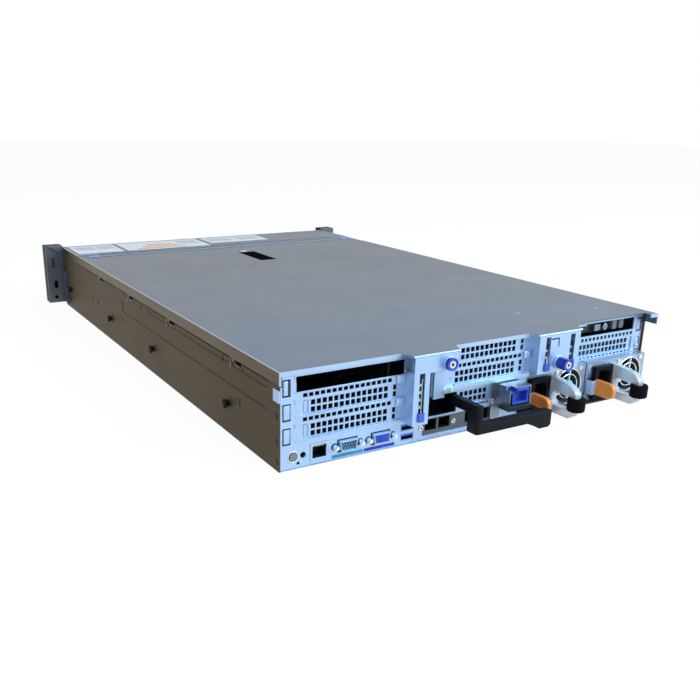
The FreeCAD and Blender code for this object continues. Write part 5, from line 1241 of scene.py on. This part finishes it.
camera_data = bpy.data.cameras.new("camera")
camera_data.sensor_width = SENSOR
camera_data.lens = FOCAL_PX / IMAGE_W * SENSOR
camera_data.shift_x = (IMAGE_W / 2 - CENTRE_PX[0]) / IMAGE_W
camera_data.shift_y = (CENTRE_PX[1] - IMAGE_W / 2) / IMAGE_W
camera_data.clip_start = 0.01
camera = bpy.data.objects.new("camera", camera_data)
camera.location = spot(*CAMERA_AT)
camera.rotation_euler = [radians(a) for a in CAMERA_TURN]
bpy.context.collection.objects.link(camera)
bpy.context.scene.camera = camera
print("lens", round(camera_data.lens, 2), "mm at", [round(v, 3) for v in camera.location])

# %% [markdown]
# The server lies on a plain white ground. The camera, mirrors and clear plastic see it as white,
# which takes a glow that only their rays meet. The rest of it is ordinary matt white, so it still
# takes the server's shadow.

# %% Ground
GROUND_SHADE = 0.86
GROUND_GLOW = 0.88
GLOW_STRENGTH = 1.06


def grey(level):
    return (level, level, level, 1.0)


def seen_ray(tree):
    """1 for the rays that show the background: straight from the camera, mirrored or let through."""
    path = tree.nodes.new("ShaderNodeLightPath")
    seen = Value(tree, path.outputs["Is Camera Ray"]) + Value(tree, path.outputs["Is Glossy Ray"])
    return (seen + Value(tree, path.outputs["Is Transmission Ray"])) > 0.5


bpy.ops.object.select_all(action="DESELECT")
bpy.ops.mesh.primitive_plane_add(size=14.0, location=(0, 0, -0.2 * MM))
ground = bpy.context.object
ground.name = "ground"
ground_white = bpy.data.materials.new("ground_white")
ground_white.use_nodes = True
tree = ground_white.node_tree
matt = tree.nodes["Principled BSDF"]
matt.inputs["Base Color"].default_value = grey(GROUND_SHADE)
matt.inputs["Roughness"].default_value = 0.9
matt.inputs["Specular IOR Level"].default_value = 0.1
lit = Value(tree, matt.outputs[0])
glow = lit.node("ShaderNodeEmission", {"Color": grey(1.0), "Strength": GLOW_STRENGTH})
mixed = lit.node("ShaderNodeMixShader", {0: seen_ray(tree) * GROUND_GLOW, 1: lit, 2: glow})
tree.links.new(mixed.socket, tree.nodes["Material Output"].inputs["Surface"])
ground.data.materials.append(ground_white)
print("ground", round(ground.dimensions.x, 1), "m wide, glow", GROUND_GLOW)

# %% [markdown]
# A soft sky gives the even light of a room. As with the ground, the rays that show the background
# see plain white, and only the light that falls on the server has the sky's cool colour.

# %% Sky
SKY_STRENGTH = 0.34
world = bpy.data.worlds.new("sky")
bpy.context.scene.world = world
world.use_nodes = True
sky = world.node_tree
background = sky.nodes["Background"]
background.inputs["Color"].default_value = (0.86, 0.91, 1.0, 1.0)
background.inputs["Strength"].default_value = SKY_STRENGTH
cool = Value(sky, background.outputs[0])
white = cool.node("ShaderNodeBackground", {"Color": grey(1.0), "Strength": 1.0})
sky_mix = cool.node("ShaderNodeMixShader", {0: seen_ray(sky), 1: cool, 2: white})
sky.links.new(sky_mix.socket, sky.nodes["World Output"].inputs["Surface"])
print("sky strength", SKY_STRENGTH)

# %% [markdown]
# One large lamp stands to the right of the rear wall and makes it the brightest side, like a
# window. A wide one hangs over the cover, and the left wall gets only what the surroundings send
# back.

# %% Lamps
def lamp(name, at, aim, size, watts, color):
    data = bpy.data.lights.new(name, "AREA")
    data.shape = "RECTANGLE"
    data.size, data.size_y = size
    data.energy = watts
    data.color = color
    made = bpy.data.objects.new(name, data)
    made.location = at
    made.rotation_euler = (Vector(aim) - Vector(at)).to_track_quat("-Z", "Y").to_euler()
    bpy.context.collection.objects.link(made)
    return made


lamp("window", at=(-1.6, 1.9, 1.3), aim=(0, 0.2, 0.05), size=(1.8, 1.4), watts=74,
     color=(0.58, 0.80, 1.0))
lamp("ceiling", at=(0.35, 0.75, 1.5), aim=(0.15, 0.1, 0.08), size=(1.3, 1.3), watts=10,
     color=(0.72, 0.86, 1.0))
bpy.context.scene.view_settings.view_transform = "Standard"
